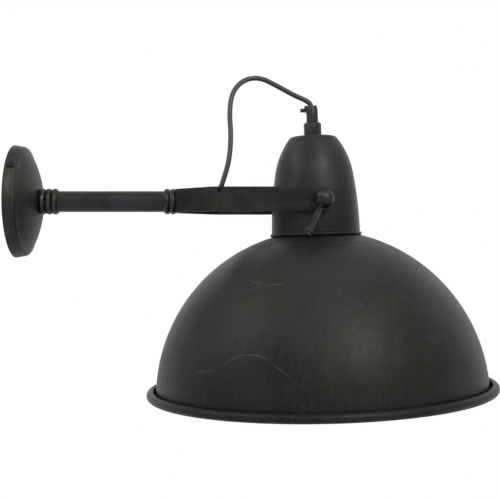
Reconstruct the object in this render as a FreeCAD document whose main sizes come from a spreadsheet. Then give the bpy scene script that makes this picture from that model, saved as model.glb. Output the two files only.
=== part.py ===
import FreeCAD, Part
import math
import os

import Sketcher

# Wall sconce with a hanging dome shade, in millimetres.
# Origin: centre of the wall rose's back, on the wall and on the arm's axis.
# +X points out of the wall along the arm, +Z is up, and the clamp lever is on the -Y side.

doc = FreeCAD.newDocument("wall_sconce")

DRIVING_SIZES = [
    # wall rose and its bracket
    ("rose_back_radius", 57.0, "outer radius of the rose against the wall"),
    ("rose_front_radius", 55.7, "outer radius where the side band ends"),
    ("rose_band_depth", 8.1, "depth of the straight side band"),
    ("rose_corner_radius", 4.1, "rounding between side band and dome"),
    ("rose_dome_radius", 105.0, "spherical radius of the rose's front"),
    ("rose_depth", 24.3, "wall to the flat that carries the arm"),
    ("rose_flat_radius", 16.5, "radius of that flat"),
    ("rose_wall", 1.5, "sheet thickness of the rose"),
    ("side_screw_angle", 53.0, "side screws, measured from the top towards -Y"),
    ("side_screw_depth", 5.5, "side screws, distance from the wall"),
    ("side_screw_radius", 2.0, "M4 thread"),
    ("side_screw_head_radius", 3.5, ""),
    ("side_screw_head_height", 1.4, ""),
    ("side_screw_seat", 56.8, "underside of its head, from the axis"),
    ("side_screw_end", 49.0, ""),
    ("side_screw_hole", 2.15, "clearance hole in the rose's band"),
    ("head_crown", 1.2, "dome of a round screw head, in head radii"),
    ("head_flat", 0.3, "flat on top of a round screw head, in head radii"),
    ("bracket_radius", 50.0, "disc of the bracket"),
    ("bracket_thickness", 2.0, ""),
    ("ear_outer", 53.0, "outer face of the two ears, from the axis"),
    ("ear_inner", 51.0, "inner face of the two ears"),
    ("ear_width", 14.0, ""),
    ("ear_depth", 10.0, "height of the ears from the wall"),
    ("wall_hole_spacing", 70.0, "the two slots for wall screws, up and down"),
    ("wall_slot_width", 5.2, ""),
    ("wall_slot_length", 10.0, ""),
    ("supply_hole_radius", 9.0, "hole for the cable out of the wall"),
    ("earth_screw_y", 24.0, ""),
    ("earth_screw_z", 24.0, ""),
    ("earth_washer_radius", 4.5, ""),
    ("earth_washer_thickness", 1.0, ""),
    ("earth_head_side", 1.0, "straight side of the earth screw's head"),
    ("earth_head_height", 2.2, ""),
    ("terminal_width", 30.0, "terminal block along Y"),
    ("terminal_height", 15.0, "terminal block along Z"),
    ("terminal_depth", 11.0, "terminal block along X"),
    ("terminal_top", -19.0, "top of the terminal block"),
    ("terminal_pitch", 9.0, "distance between its three ways"),
    ("terminal_wire_radius", 1.7, ""),
    ("terminal_screw_radius", 1.4, ""),
    ("terminal_screw_length", 2.7, ""),
    ("terminal_row", 3.75, "middle of the block to each row of screws"),
    # arm
    ("arm_radius", 10.65, "21.3 mm steel tube"),
    ("arm_wall", 2.0, ""),
    ("arm_start", 15.8, "threaded end inside the rose"),
    ("arm_end", 162.4, "end against the yoke"),
    ("locknut_flats", 28.0, "across flats"),
    ("locknut_thickness", 5.0, ""),
    ("bead_arc_radius", 3.8, "rounding of one bead"),
    ("bead_valley", 11.6, "radius between two beads"),
    ("rose_bead_length", 6.2, ""),
    ("yoke_bead_length", 6.0, ""),
    ("bush_length", 14.0, "threaded plug in the tube's outer end"),
    ("nipple_radius", 5.0, "M10 threaded tube"),
    ("nipple_bore", 3.8, ""),
    ("nipple_start", 150.0, ""),
    ("nipple_end", 172.4, ""),
    ("nipple_nut_flats", 16.0, ""),
    ("nipple_nut_thickness", 4.0, ""),
    # yoke, one flat bar bent into a fork
    ("bar_thickness", 3.2, ""),
    ("bar_height", 23.6, ""),
    ("end_clearance", 5.0, "how far cutting outlines run past the bar"),
    ("bar_rise", 0.3, "the bar's middle lies this much above the arm's axis"),
    ("web_half", 12.0, "half width of the web"),
    ("strap_start", 201.7, "where the flare ends and the strap runs straight"),
    ("strap_outer", 48.7, "outer face of each strap, from the middle"),
    ("bend_radius", 5.0, "outside radius of the bends"),
    ("pivot_x", 308.5, "tilt axis, distance from the wall"),
    ("pivot_hole_radius", 3.2, ""),
    # lead clamp on the near strap
    ("clamp_x", 208.0, ""),
    ("clamp_z", 9.2, ""),
    ("clamp_lead_y", -39.3, "where the lead passes through the clamp"),
    ("clamp_width", 9.0, ""),
    ("clamp_height", 6.0, ""),
    ("clamp_depth", 10.4, "how far it stands in from the strap"),
    ("clamp_nose", 3.5, "rounded corners of the clamp"),
    ("clamp_screw_stop", 3.5, "lead's middle to the end of the clamp's thread"),
    ("clamp_lead_lean", 22.8, "lean of the lead's hole from upright"),
    ("clamp_bore_radius", 2.9, ""),
    ("clamp_screw_radius", 1.25, ""),
    ("clamp_screw_head_radius", 2.6, ""),
    ("clamp_screw_head_height", 1.8, ""),
    ("clamp_screw_socket_radius", 1.2, ""),
    ("clamp_screw_socket_floor", 0.6, "height of the socket's floor above the strap"),
    ("clamp_screw_crown", 4.5, "rounding of its head"),
    # lead
    ("lead_radius", 2.5, "round flexible lead"),
    ("lead_trim", 0.45, "share of a run that the arc at its end takes"),
    # head: tilted about Y, its middle line passes a little to the wall side of the pivot
    ("head_tilt", 1.8, "lean at rest, shade away from the wall"),
    ("head_offset", 5.2, "pivot to the head's middle line"),
    ("cap_wall", 1.2, ""),
    ("cap_crown_radius", 21.2, "flat top of the cap"),
    ("cap_top", 65.7, ""),
    ("cap_shoulder_radius", 25.0, ""),
    ("cap_shoulder_z", 63.1, ""),
    ("cap_waist_radius", 40.0, ""),
    ("cap_waist_z", 25.0, ""),
    ("cap_foot_radius", 44.6, ""),
    ("cap_foot_z", -29.0, ""),
    ("cap_crown_arc", 4.6, "rounding at the crown's edge"),
    ("cap_upper_arc", 80.0, "rounding from crown to waist"),
    ("cap_lower_arc", 378.0, "slight swell below the waist"),
    ("lip_radius", 46.4, "rolled lip at the foot of the cap"),
    ("lip_bead", 1.7, ""),
    ("flange_z", -35.0, "joint plane between cap and shade"),
    ("flange_inner", 34.5, "open throat of cap and shade"),
    ("flange_thickness", 1.2, ""),
    ("shade_radius", 166.7, "spherical radius of the shade"),
    ("shade_centre_z", -195.6, "centre of that sphere"),
    ("shade_wall", 1.2, ""),
    ("rim_z", -188.9, "middle of the rolled rim"),
    ("rim_reach", 176.1, "outer radius of the rim, which stands off the dome"),
    ("rim_bead", 4.5, ""),
    ("rim_curl_end", 62.0, "opening of the rolled rim, above its horizontal"),
    ("flange_screw_ring", 39.4, "radius of the three screws' circle"),
    ("flange_screw_radius", 2.0, "M4"),
    ("flange_head_radius", 3.4, ""),
    ("flange_head_height", 2.4, ""),
    ("flange_nut_flats", 7.0, ""),
    ("flange_nut_thickness", 3.2, ""),
    ("flange_screw_length", 6.6, ""),
    # pivot
    ("boss_radius", 8.0, "threaded boss welded into each side of the cap"),
    ("boss_inner", 37.0, ""),
    ("boss_outer", 44.6, ""),
    ("pivot_thread_radius", 3.0, "M6"),
    ("pivot_clearance", 0.05, "running clearance of the M6 stud in its boss"),
    ("washer_radius", 8.0, ""),
    ("washer_gap", 0.15, "air between washer and strap"),
    ("far_head_radius", 6.5, ""),
    ("far_head_height", 4.2, ""),
    ("far_head_side", 1.05, "straight side of the far bolt's head"),
    ("far_head_crown", 8.1, ""),
    ("far_head_flat", 2.2, ""),
    # clamp lever
    ("lever_washer_thickness", 1.0, ""),
    ("hub_radius", 9.2, "round hub of the lever"),
    ("hub_centre_y", -57.0, ""),
    ("hub_top_radius", 6.0, "where the ball passes into the hub's flatter front"),
    ("hub_top_crown", 14.7, "rounding of the hub's front"),
    ("hub_top_reach", 8.6, "hub centre to its front"),
    ("hub_top_flat", 1.2, ""),
    ("lever_swing", 27.5, "handle, from straight down towards the wall"),
    ("lever_lean", 30.0, "handle, away from the strap"),
    ("lever_neck_radius", 2.1, ""),
    ("lever_neck_end", 12.5, "hub centre to the handle's upper end"),
    ("handle_top_radius", 2.9, ""),
    ("handle_end_radius", 3.6, ""),
    ("handle_length", 31.0, ""),
    ("handle_ring_length", 4.0, "ring near the end of the handle"),
    ("handle_ring_radius", 3.9, ""),
    ("handle_tip_length", 4.0, "rounded tip below the ring"),
    ("handle_tip_flat", 1.8, ""),
    ("handle_tip_crown", 3.3, ""),
    ("handle_tip_side", 2.8, "straight part of the tip"),
    ("handle_ring_chamfer", 0.6, ""),
    ("handle_shoulder", 4.0, "rounding at the handle's upper end"),
    ("handle_shoulder_length", 1.55, ""),
    ("handle_root", 4.6, "hub centre to the start of the neck"),
    ("stud_inner_end", 38.4, "end of the lever's stud, from the middle"),
    # top of the head
    ("coupler_radius", 8.9, ""),
    ("coupler_height", 14.7, ""),
    ("coupler_chamfer", 1.4, ""),
    ("coupler_top_radius", 7.2, ""),
    ("grip_radius", 5.9, ""),
    ("grip_height", 16.8, ""),
    ("grip_spigot_radius", 4.6, ""),
    ("grip_spigot_length", 3.0, ""),
    ("grip_block_reach", 7.7, "how far the block stands out on the wall side"),
    ("grip_block_half", 3.6, ""),
    ("grip_block_foot", 6.0, "top of the grip down to the block's foot"),
    ("grip_block_slope", 6.8, "top of the grip down to where the block meets the barrel"),
    ("grip_block_root", 9.2, ""),
    ("grip_top_radius", 4.9, ""),
    ("grip_shoulder", 12.8, "height where the barrel's top begins to narrow"),
    ("grip_bore_radius", 2.6, ""),
    ("grip_mouth_radius", 3.9, "flared mouth that the lead bends out of"),
    ("grip_mouth_depth", 2.4, ""),
    ("grip_screw_radius", 1.5, ""),
    ("grip_screw_drop", 4.2, "top of the grip down to its screw"),
    ("grip_screw_chamfer", 0.5, ""),
    ("grip_screw_head_radius", 2.0, ""),
    ("grip_screw_head_length", 4.2, ""),
    ("head_lead_offset", 0.9, "the lead is pressed to the screw's side"),
    ("head_nipple_start", 47.0, ""),
    ("head_nipple_end", 76.6, ""),
    ("head_nut_flats", 17.0, ""),
    ("head_nut_thickness", 3.6, ""),
    ("head_washer_radius", 12.0, ""),
    ("head_washer_thickness", 1.4, ""),
    # lampholder for a 27 mm screw cap
    ("holder_top", 58.0, ""),
    ("holder_neck_radius", 9.5, ""),
    ("holder_joint_z", 38.0, ""),
    ("holder_bottom", 4.0, ""),
    ("holder_radius", 20.0, ""),
    ("holder_wall", 2.5, ""),
    ("holder_floor", 34.0, "ceramic floor that carries the contacts"),
    ("holder_floor_thickness", 4.0, ""),
    ("holder_neck_wall", 1.25, ""),
    ("holder_neck_length", 5.0, ""),
    ("holder_crown", 32.0, "rounding of the bell"),
    ("floor_hole_radius", 1.75, "way for the lead's cores"),
    ("thread_shell_radius", 14.1, "outside of the metal screw shell"),
    ("thread_shell_bore", 13.5, ""),
    ("thread_shell_bottom", 8.0, ""),
    ("contact_radius", 3.5, ""),
    ("contact_thickness", 1.2, ""),
    # bulb
    ("bulb_tip_z", 32.4, ""),
    ("bulb_tip_radius", 4.5, ""),
    ("bulb_cap_top", 30.4, ""),
    ("bulb_cap_bottom", 5.0, ""),
    ("bulb_cap_radius", 13.1, ""),
    ("bulb_cap_wall", 0.6, ""),
    ("bulb_cap_shoulder", 2.25, "sloping top of the cap"),
    ("bulb_cap_crown", 11.9, "radius at the top of that slope"),
    ("bulb_tip_end_radius", 2.25, ""),
    ("bulb_neck_radius", 12.4, ""),
    ("bulb_throat_radius", 13.6, ""),
    ("bulb_throat_z", -7.0, ""),
    ("bulb_radius", 30.0, ""),
    ("bulb_centre_z", -45.0, ""),
    ("bulb_shoulder_radius", 22.5, ""),
    ("bulb_glass", 0.8, ""),
    ("bulb_neck_top", 7.4, ""),
    ("stem_radius", 4.0, ""),
    ("stem_flare_radius", 10.8, ""),
    ("stem_flare_edge", 0.8, ""),
    ("stem_end_z", -22.0, ""),
    ("filament_radius", 0.9, ""),
    ("filament_length", 34.0, ""),
    ("filament_circle", 8.0, ""),
    ("filament_gap", 1.8, "stem to the filaments' upper ends"),
]

VALUE_COLUMN = "B"


class Size:
    """A number together with the sheet expression that gives it."""

    def __init__(self, value, text):
        self.value = float(value)
        self.text = text

    def __add__(self, other):
        other = asSize(other)
        return Size(self.value + other.value, "(%s + %s)" % (self.text, other.text))

    def __sub__(self, other):
        other = asSize(other)
        return Size(self.value - other.value, "(%s - %s)" % (self.text, other.text))

    def __mul__(self, other):
        other = asSize(other)
        return Size(self.value * other.value, "(%s * %s)" % (self.text, other.text))

    def __truediv__(self, other):
        other = asSize(other)
        return Size(self.value / other.value, "(%s / %s)" % (self.text, other.text))

    def __radd__(self, other):
        return asSize(other) + self

    def __rsub__(self, other):
        return asSize(other) - self

    def __rmul__(self, other):
        return asSize(other) * self

    def __neg__(self):
        return Size(-self.value, "(0 - %s)" % self.text)


def asSize(value):
    return value if isinstance(value, Size) else Size(value, "%.9f" % value)


def root(size):
    return Size(math.sqrt(size.value), "sqrt(%s)" % size.text)


def sine(angle):
    return Size(math.sin(math.radians(angle.value)), "sin(%s * 1 deg)" % angle.text)


def cosine(angle):
    return Size(math.cos(math.radians(angle.value)), "cos(%s * 1 deg)" % angle.text)


sheet = doc.addObject("Spreadsheet::Sheet", "Sizes")
size = {}
for row, (alias, value, note) in enumerate(DRIVING_SIZES, start=1):
    cell = "%s%d" % (VALUE_COLUMN, row)
    sheet.set("A%d" % row, alias)
    sheet.set(cell, str(value))
    sheet.setAlias(cell, alias)
    sheet.set("C%d" % row, note)
    size[alias] = Size(value, "Sizes.%s" % alias)
doc.recompute()

nodes = []


def keep(piece, label):
    """Makes an object a sub-part: its label becomes the node's name."""
    piece.Label = label
    nodes.append(piece)
    return piece


def place(piece, x=0, y=0, z=0, yaw=0, pitch=0, roll=0):
    """Binds a piece's placement: roll about X, then pitch about Y, then yaw about Z."""
    texts = [asSize(number).text for number in (x, y, z, yaw, pitch, roll)]
    piece.setExpression(
        "Placement",
        "placement(vector(%s; %s; %s); rotation(%s; %s; %s))" % tuple(texts),
    )
    return piece


def alongArm(piece, x, y=0, z=0):
    """Lays a piece that was made along its own Z on a line parallel to the arm."""
    return place(piece, x, y, z, pitch=90)


def inHead(piece, x=0, y=0, z=0, turn=0):
    """Places a piece by the head's own coordinates, which lean with the head; turn is about Y."""
    lean = -size["head_tilt"]
    originX = size["pivot_x"] - size["head_offset"] * cosine(lean)
    originZ = size["head_offset"] * sine(lean)
    x, y, z = asSize(x), asSize(y), asSize(z)
    return place(
        piece,
        originX + x * cosine(lean) + z * sine(lean),
        y,
        originZ - x * sine(lean) + z * cosine(lean),
        pitch=lean + turn,
    )


def newBody(name):
    body = doc.addObject("PartDesign::Body", name)
    body.AllowCompound = True
    return body


def newSketch(body, plane):
    sketch = body.newObject("Sketcher::SketchObject", body.Name + "_sketch")
    planes = [item for item in body.Origin.OriginFeatures if item.Role == plane + "_Plane"]
    sketch.AttachmentSupport = [(planes[0], "")]
    sketch.MapMode = "FlatFace"
    return sketch


def bindConstraint(sketch, kind, places, number):
    number = asSize(number)
    index = sketch.addConstraint(Sketcher.Constraint(kind, *places, number.value))
    sketch.setExpression("Constraints[%d]" % index, number.text)


def drawCircle(sketch, radius, x=0, y=0):
    centre = FreeCAD.Vector(asSize(x).value, asSize(y).value, 0)
    circle = Part.Circle(centre, FreeCAD.Vector(0, 0, 1), asSize(radius).value)
    index = sketch.addGeometry(circle, False)
    bindConstraint(sketch, "Radius", (index,), radius)
    bindConstraint(sketch, "DistanceX", (-1, 1, index, 3), x)
    bindConstraint(sketch, "DistanceY", (-1, 1, index, 3), y)


def arcBetween(start, end, bend):
    """The short arc between two points; a positive bend turns left, a negative one right."""
    chord = end - start
    middle = (start + end) * 0.5
    left = FreeCAD.Vector(-chord.y, chord.x, 0).normalize()
    rise = math.sqrt(bend * bend - chord.Length ** 2 / 4)
    centre = middle + left * math.copysign(rise, bend)
    first, last = (start, end) if bend > 0 else (end, start)
    angles = [math.atan2((point - centre).y, (point - centre).x) for point in (first, last)]
    circle = Part.Circle(centre, FreeCAD.Vector(0, 0, 1), abs(bend))
    return Part.ArcOfCircle(circle, angles[0], angles[1])


def drawOutline(sketch, corners):
    """Draws a closed outline. A corner is (x, y), or (x, y, bend) when an arc leads to the next."""
    points = [FreeCAD.Vector(asSize(item[0]).value, asSize(item[1]).value, 0) for item in corners]
    ends = []
    for number, corner in enumerate(corners):
        start = points[number]
        end = points[(number + 1) % len(points)]
        if len(corner) == 3:
            bend = asSize(corner[2])
            index = sketch.addGeometry(arcBetween(start, end, bend.value), False)
            bindConstraint(sketch, "Radius", (index,), bend if bend.value > 0 else -bend)
            ends.append((index, 1, 2) if bend.value > 0 else (index, 2, 1))
        else:
            index = sketch.addGeometry(Part.LineSegment(start, end), False)
            ends.append((index, 1, 2))
    for number, corner in enumerate(corners):
        index, head, tail = ends[number]
        following, nextHead, _ = ends[(number + 1) % len(corners)]
        sketch.addConstraint(Sketcher.Constraint("Coincident", index, tail, following, nextHead))
        bindConstraint(sketch, "DistanceX", (-1, 1, index, head), corner[0])
        bindConstraint(sketch, "DistanceY", (-1, 1, index, head), corner[1])


def revolve(body, sketch, axis="V_Axis"):
    feature = body.newObject("PartDesign::Revolution", body.Name + "_revolution")
    feature.Profile = sketch
    feature.ReferenceAxis = (sketch, [axis])
    feature.Angle = 360
    return feature


def pad(body, sketch, length, sides="One side"):
    feature = body.newObject("PartDesign::Pad", body.Name + "_pad")
    feature.Profile = sketch
    feature.SideType = sides
    feature.setExpression("Length", asSize(length).text)
    return feature


def pocketThrough(body, sketch, sides="Symmetric", backwards=False):
    """Cuts right through and makes sure that something was cut."""
    doc.recompute()
    before = body.Shape.Volume
    feature = body.newObject("PartDesign::Pocket", body.Name + "_pocket")
    feature.Profile = sketch
    feature.Type = "ThroughAll"
    feature.SideType = sides
    feature.Reversed = backwards
    doc.recompute()
    if body.Shape.Volume >= before:
        raise RuntimeError("%s: the pocket cuts nothing" % body.Label)
    return feature


def turned(name, outline, axis="V_Axis", plane="XZ"):
    """A round piece from half of its section: x is the radius and y runs along the axis."""
    body = newBody(name)
    sketch = newSketch(body, plane)
    drawOutline(sketch, outline)
    revolve(body, sketch, axis)
    return body


def ring(name, outer, bore, length):
    """A plain ring or tube along Z."""
    body = newBody(name)
    sketch = newSketch(body, "XY")
    drawCircle(sketch, outer)
    drawCircle(sketch, bore)
    pad(body, sketch, length)
    return body


def disc(name, radius, length):
    """A plain round bar along Z."""
    body = newBody(name)
    sketch = newSketch(body, "XY")
    drawCircle(sketch, radius)
    pad(body, sketch, length)
    return body


def hexagon(flats):
    corners = []
    for number in range(6):
        angle = asSize(60 * number)
        reach = flats / root(asSize(3))
        corners.append((reach * cosine(angle), reach * sine(angle)))
    return corners


def nut(name, flats, bore, thickness):
    body = newBody(name)
    sketch = newSketch(body, "XY")
    drawOutline(sketch, hexagon(flats))
    drawCircle(sketch, bore)
    pad(body, sketch, thickness)
    return body


def boolean(kind, name, base, tools):
    """A cut or a fuse of one base and several tools."""
    if kind == "cut":
        result = doc.addObject("Part::Cut", name)
        result.Base = base
        result.Tool = tools[0] if len(tools) == 1 else boolean("fuse", name + "_tools", None, tools)
        return result
    result = doc.addObject("Part::MultiFuse", name)
    result.Shapes = ([base] if base else []) + tools
    return result


def group(name, pieces):
    """Identical fasteners, kept as separate solids in one sub-part."""
    result = doc.addObject("Part::Compound", name)
    result.Links = pieces
    return keep(result, name)


# Wall bracket and rose


def makeWallBracket():
    """A pressed disc with two ears that the rose's side screws go into."""
    thickness = size["bracket_thickness"]
    plate = alongArm(disc("bracket_disc", size["bracket_radius"], thickness), 0)
    ears = []
    for number, turn in enumerate((0, 180), start=1):
        ear = newBody("bracket_ear_%d" % number)
        sketch = newSketch(ear, "XZ")
        earRoot = size["ear_inner"] - size["ear_width"]
        drawOutline(sketch, [
            (0, earRoot),
            (thickness, earRoot),
            (thickness, size["ear_inner"]),
            (size["ear_depth"], size["ear_inner"]),
            (size["ear_depth"], size["ear_outer"]),
            (0, size["ear_outer"]),
        ])
        pad(ear, sketch, size["ear_width"], "Symmetric")
        hole = newSketch(ear, "XY")
        drawCircle(hole, size["side_screw_radius"], size["side_screw_depth"])
        pocketThrough(ear, hole)
        ears.append(place(ear, roll=size["side_screw_angle"] + turn))
    cutters = []
    halfWidth = size["wall_slot_width"] / 2
    halfRun = (size["wall_slot_length"] - size["wall_slot_width"]) / 2
    for number, side in enumerate((1, -1), start=1):
        slot = newBody("wall_slot_%d" % number)
        sketch = newSketch(slot, "YZ")
        middle = size["wall_hole_spacing"] / 2 * side
        drawOutline(sketch, [
            (-halfWidth, middle - halfRun),
            (-halfWidth, middle + halfRun, -halfWidth),
            (0, middle + halfRun + halfWidth, -halfWidth),
            (halfWidth, middle + halfRun),
            (halfWidth, middle - halfRun, -halfWidth),
            (0, middle - halfRun - halfWidth, -halfWidth),
        ])
        cutters.append(slot)
    openings = newBody("bracket_holes")
    sketch = newSketch(openings, "YZ")
    drawCircle(sketch, size["supply_hole_radius"])
    drawCircle(sketch, size["side_screw_radius"], size["earth_screw_y"], size["earth_screw_z"])
    cutters.append(openings)
    for cutter in cutters:
        pad(cutter, cutter.Group[0], thickness * 3, "Symmetric")
    keep(boolean("cut", "bracket", boolean("fuse", "bracket_solid", plate, ears), cutters),
         "wall_bracket")


def makeWallRose():
    """A spun cup: side band, rounded corner and a shallow dome with a flat for the arm."""
    wall = size["rose_wall"]
    front = size["rose_front_radius"]
    corner = size["rose_corner_radius"]
    band = size["rose_band_depth"]
    depth = size["rose_depth"]
    domeRadius = size["rose_dome_radius"]
    flat = size["rose_flat_radius"]
    bore = size["arm_radius"]
    rose = turned("rose", [
        (0, size["rose_back_radius"]),
        (0, size["rose_back_radius"] - wall),
        (band, front - wall, -(corner - wall)),
        (band + corner - wall, front - corner, -(domeRadius - wall)),
        (depth - wall, flat),
        (depth - wall, bore),
        (depth, bore),
        (depth, flat, domeRadius),
        (band + corner, front - corner, corner),
        (band, front),
    ], axis="H_Axis", plane="XY")
    hole = newSketch(rose, "XY")
    drawCircle(hole, size["side_screw_hole"], size["side_screw_depth"])
    pocketThrough(rose, hole)
    keep(place(rose, roll=size["side_screw_angle"]), "wall_rose")


def makeRoseScrews():
    head = size["side_screw_head_radius"]
    height = size["side_screw_head_height"]
    seat = size["side_screw_seat"]
    screws = []
    for number, turn in enumerate((0, 180), start=1):
        screw = turned("rose_screw_%d" % number, [
            (0, size["side_screw_end"]),
            (size["side_screw_radius"], size["side_screw_end"]),
            (size["side_screw_radius"], seat),
            (head, seat),
            (head, seat + height / 2, head * size["head_crown"]),
            (head * size["head_flat"], seat + height),
            (0, seat + height),
        ])
        screws.append(place(screw, size["side_screw_depth"], roll=size["side_screw_angle"] + turn))
    group("rose_screws", screws)


def makeTerminals():
    """A three-way block on the bracket, its clamping screws, and the earth screw."""
    plate = size["bracket_thickness"]
    halfWidth = size["terminal_width"] / 2
    top = size["terminal_top"]
    bottom = top - size["terminal_height"]
    depth = size["terminal_depth"]
    ways = [size["terminal_pitch"] * way for way in (-1, 0, 1)]
    block = newBody("terminal_base")
    sketch = newSketch(block, "YZ")
    drawOutline(sketch, [(-halfWidth, bottom), (halfWidth, bottom), (halfWidth, top), (-halfWidth, top)])
    pad(block, sketch, depth)
    doc.recompute()
    wires = newSketch(block, "XY")
    for way in ways:
        drawCircle(wires, size["terminal_wire_radius"], depth / 2, way)
    pocketThrough(block, wires)
    screwLength = depth / 2 - size["terminal_wire_radius"]
    screws = []
    wells = []
    for number, way in enumerate(ways, start=1):
        for row, side in (("upper", 1), ("lower", -1)):
            height = (top + bottom) / 2 + size["terminal_row"] * side
            well = disc("well_%s_%d" % (row, number), size["terminal_screw_radius"], screwLength)
            wells.append(alongArm(well, plate + depth - screwLength, way, height))
            screw = disc("clamp_screw_%s_%d" % (row, number), size["terminal_screw_radius"],
                         size["terminal_screw_length"])
            screws.append(alongArm(screw, plate + depth - screwLength, way, height))
    place(block, plate)
    keep(boolean("cut", "terminal_cut", block, wells), "terminal_block")
    group("terminal_screws", screws)
    washer = size["earth_washer_radius"]
    head = size["side_screw_head_radius"]
    seat = plate + size["earth_washer_thickness"]
    screw = turned("earth", [
        (0, 0),
        (size["side_screw_radius"], 0),
        (size["side_screw_radius"], plate),
        (washer, plate),
        (washer, seat),
        (head, seat),
        (head, seat + size["earth_head_side"], head * size["head_crown"]),
        (head * size["head_flat"], seat + size["earth_head_height"]),
        (0, seat + size["earth_head_height"]),
    ])
    keep(alongArm(screw, 0, size["earth_screw_y"], size["earth_screw_z"]), "earth_screw")


# Arm


def beadedCollar(name, label, beads, beadLength, start):
    """A ring round the tube, turned with a row of round beads."""
    bore = size["arm_radius"]
    valley = size["bead_valley"]
    outline = [(beadLength * beads, bore), (0, bore)]
    for bead in range(beads):
        outline.append((beadLength * bead, valley, -size["bead_arc_radius"]))
    outline.append((beadLength * beads, valley))
    collar = turned(name, outline, axis="H_Axis", plane="XY")
    keep(place(collar, start), label)


def makeArm():
    outer = size["arm_radius"]
    inner = outer - size["arm_wall"]
    start = size["arm_start"]
    end = size["arm_end"]
    keep(alongArm(ring("tube", outer, inner, end - start), start), "arm_tube")
    thickness = size["locknut_thickness"]
    seat = size["rose_depth"] - size["rose_wall"] - thickness
    keep(alongArm(nut("tube_nut", size["locknut_flats"], outer, thickness), seat), "arm_locknut")
    beadedCollar("beads_at_rose", "rose_collar", 3, size["rose_bead_length"], size["rose_depth"])
    beadedCollar("beads_at_yoke", "yoke_collar", 2, size["yoke_bead_length"],
                 end - size["yoke_bead_length"] * 2)
    bush = ring("bush", inner, size["nipple_radius"], size["bush_length"])
    keep(alongArm(bush, end - size["bush_length"]), "tube_bush")
    nippleLength = size["nipple_end"] - size["nipple_start"]
    nipple = ring("nipple", size["nipple_radius"], size["nipple_bore"], nippleLength)
    keep(alongArm(nipple, size["nipple_start"]), "yoke_nipple")
    yokeNut = nut("nipple_nut", size["nipple_nut_flats"], size["nipple_radius"],
                  size["nipple_nut_thickness"])
    keep(alongArm(yokeNut, end + size["bar_thickness"]), "yoke_locknut")


def makeYoke():
    """One flat bar, bent twice on each side: web, flares and two straight straps."""
    thick = size["bar_thickness"]
    half = size["bar_height"] / 2
    web = size["arm_end"]
    webHalf = size["web_half"]
    bendX = size["strap_start"]
    outer = size["strap_outer"]
    end = size["pivot_x"] + half
    run = bendX - web
    spread = outer - webHalf
    slope = root(run * run + spread * spread)
    innerWeb = webHalf - thick * (slope - spread) / run
    innerBend = bendX + thick * (slope - run) / spread
    side = [(web, webHalf), (bendX, outer), (end, outer), (end, outer - thick),
            (innerBend, outer - thick), (web + thick, innerWeb)]
    mirrored = [(x, -y) for x, y in reversed(side)]
    body = newBody("bent_bar")
    sketch = newSketch(body, "XY")
    drawOutline(sketch, side + mirrored)
    bar = pad(body, sketch, size["bar_height"], "Symmetric")
    doc.recompute()
    bends = body.newObject("PartDesign::Fillet", "bends")
    bends.Base = (bar, uprightEdges(bar.Shape, [
        (web, webHalf), (web, -webHalf), (bendX, outer), (bendX, -outer),
    ]))
    bends.setExpression("Radius", size["bend_radius"].text)
    doc.recompute()
    tight = body.newObject("PartDesign::Fillet", "inner_bends")
    tight.Base = (bends, uprightEdges(bends.Shape, [
        (innerBend, outer - thick), (innerBend, thick - outer),
        (web + thick, innerWeb), (web + thick, -innerWeb),
    ]))
    tight.setExpression("Radius", (size["bend_radius"] - thick).text)

    rounding = newSketch(body, "XZ")
    past = size["end_clearance"]
    drawOutline(rounding, [
        (size["pivot_x"], half, -half),
        (end, 0, -half),
        (size["pivot_x"], -half),
        (size["pivot_x"], -half - past),
        (end + past, -half - past),
        (end + past, half + past),
        (size["pivot_x"], half + past),
    ])
    pocketThrough(body, rounding)
    rise = size["bar_rise"]
    pivots = newSketch(body, "XZ")
    drawCircle(pivots, size["pivot_hole_radius"], size["pivot_x"], -rise)
    pocketThrough(body, pivots)
    centre = newSketch(body, "YZ")
    drawCircle(centre, size["nipple_radius"], 0, -rise)
    pocketThrough(body, centre)
    clampHole = newSketch(body, "XZ")
    drawCircle(clampHole, size["clamp_screw_radius"], size["clamp_x"], size["clamp_z"] - rise)
    pocketThrough(body, clampHole, "One side", backwards=True)
    keep(place(body, z=rise), "yoke")


def uprightEdges(shape, corners):
    """Names of the straight edges along Z that stand at the given places."""
    names = []
    for number, edge in enumerate(shape.Edges, start=1):
        centre = edge.CenterOfMass
        flat = edge.BoundBox.XLength + edge.BoundBox.YLength
        for x, y in corners:
            if flat < 0.01 and math.hypot(centre.x - x.value, centre.y - y.value) < 0.05:
                names.append("Edge%d" % number)
    if len(names) != len(corners):
        raise RuntimeError("found %d of %d edges" % (len(names), len(corners)))
    return names


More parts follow.
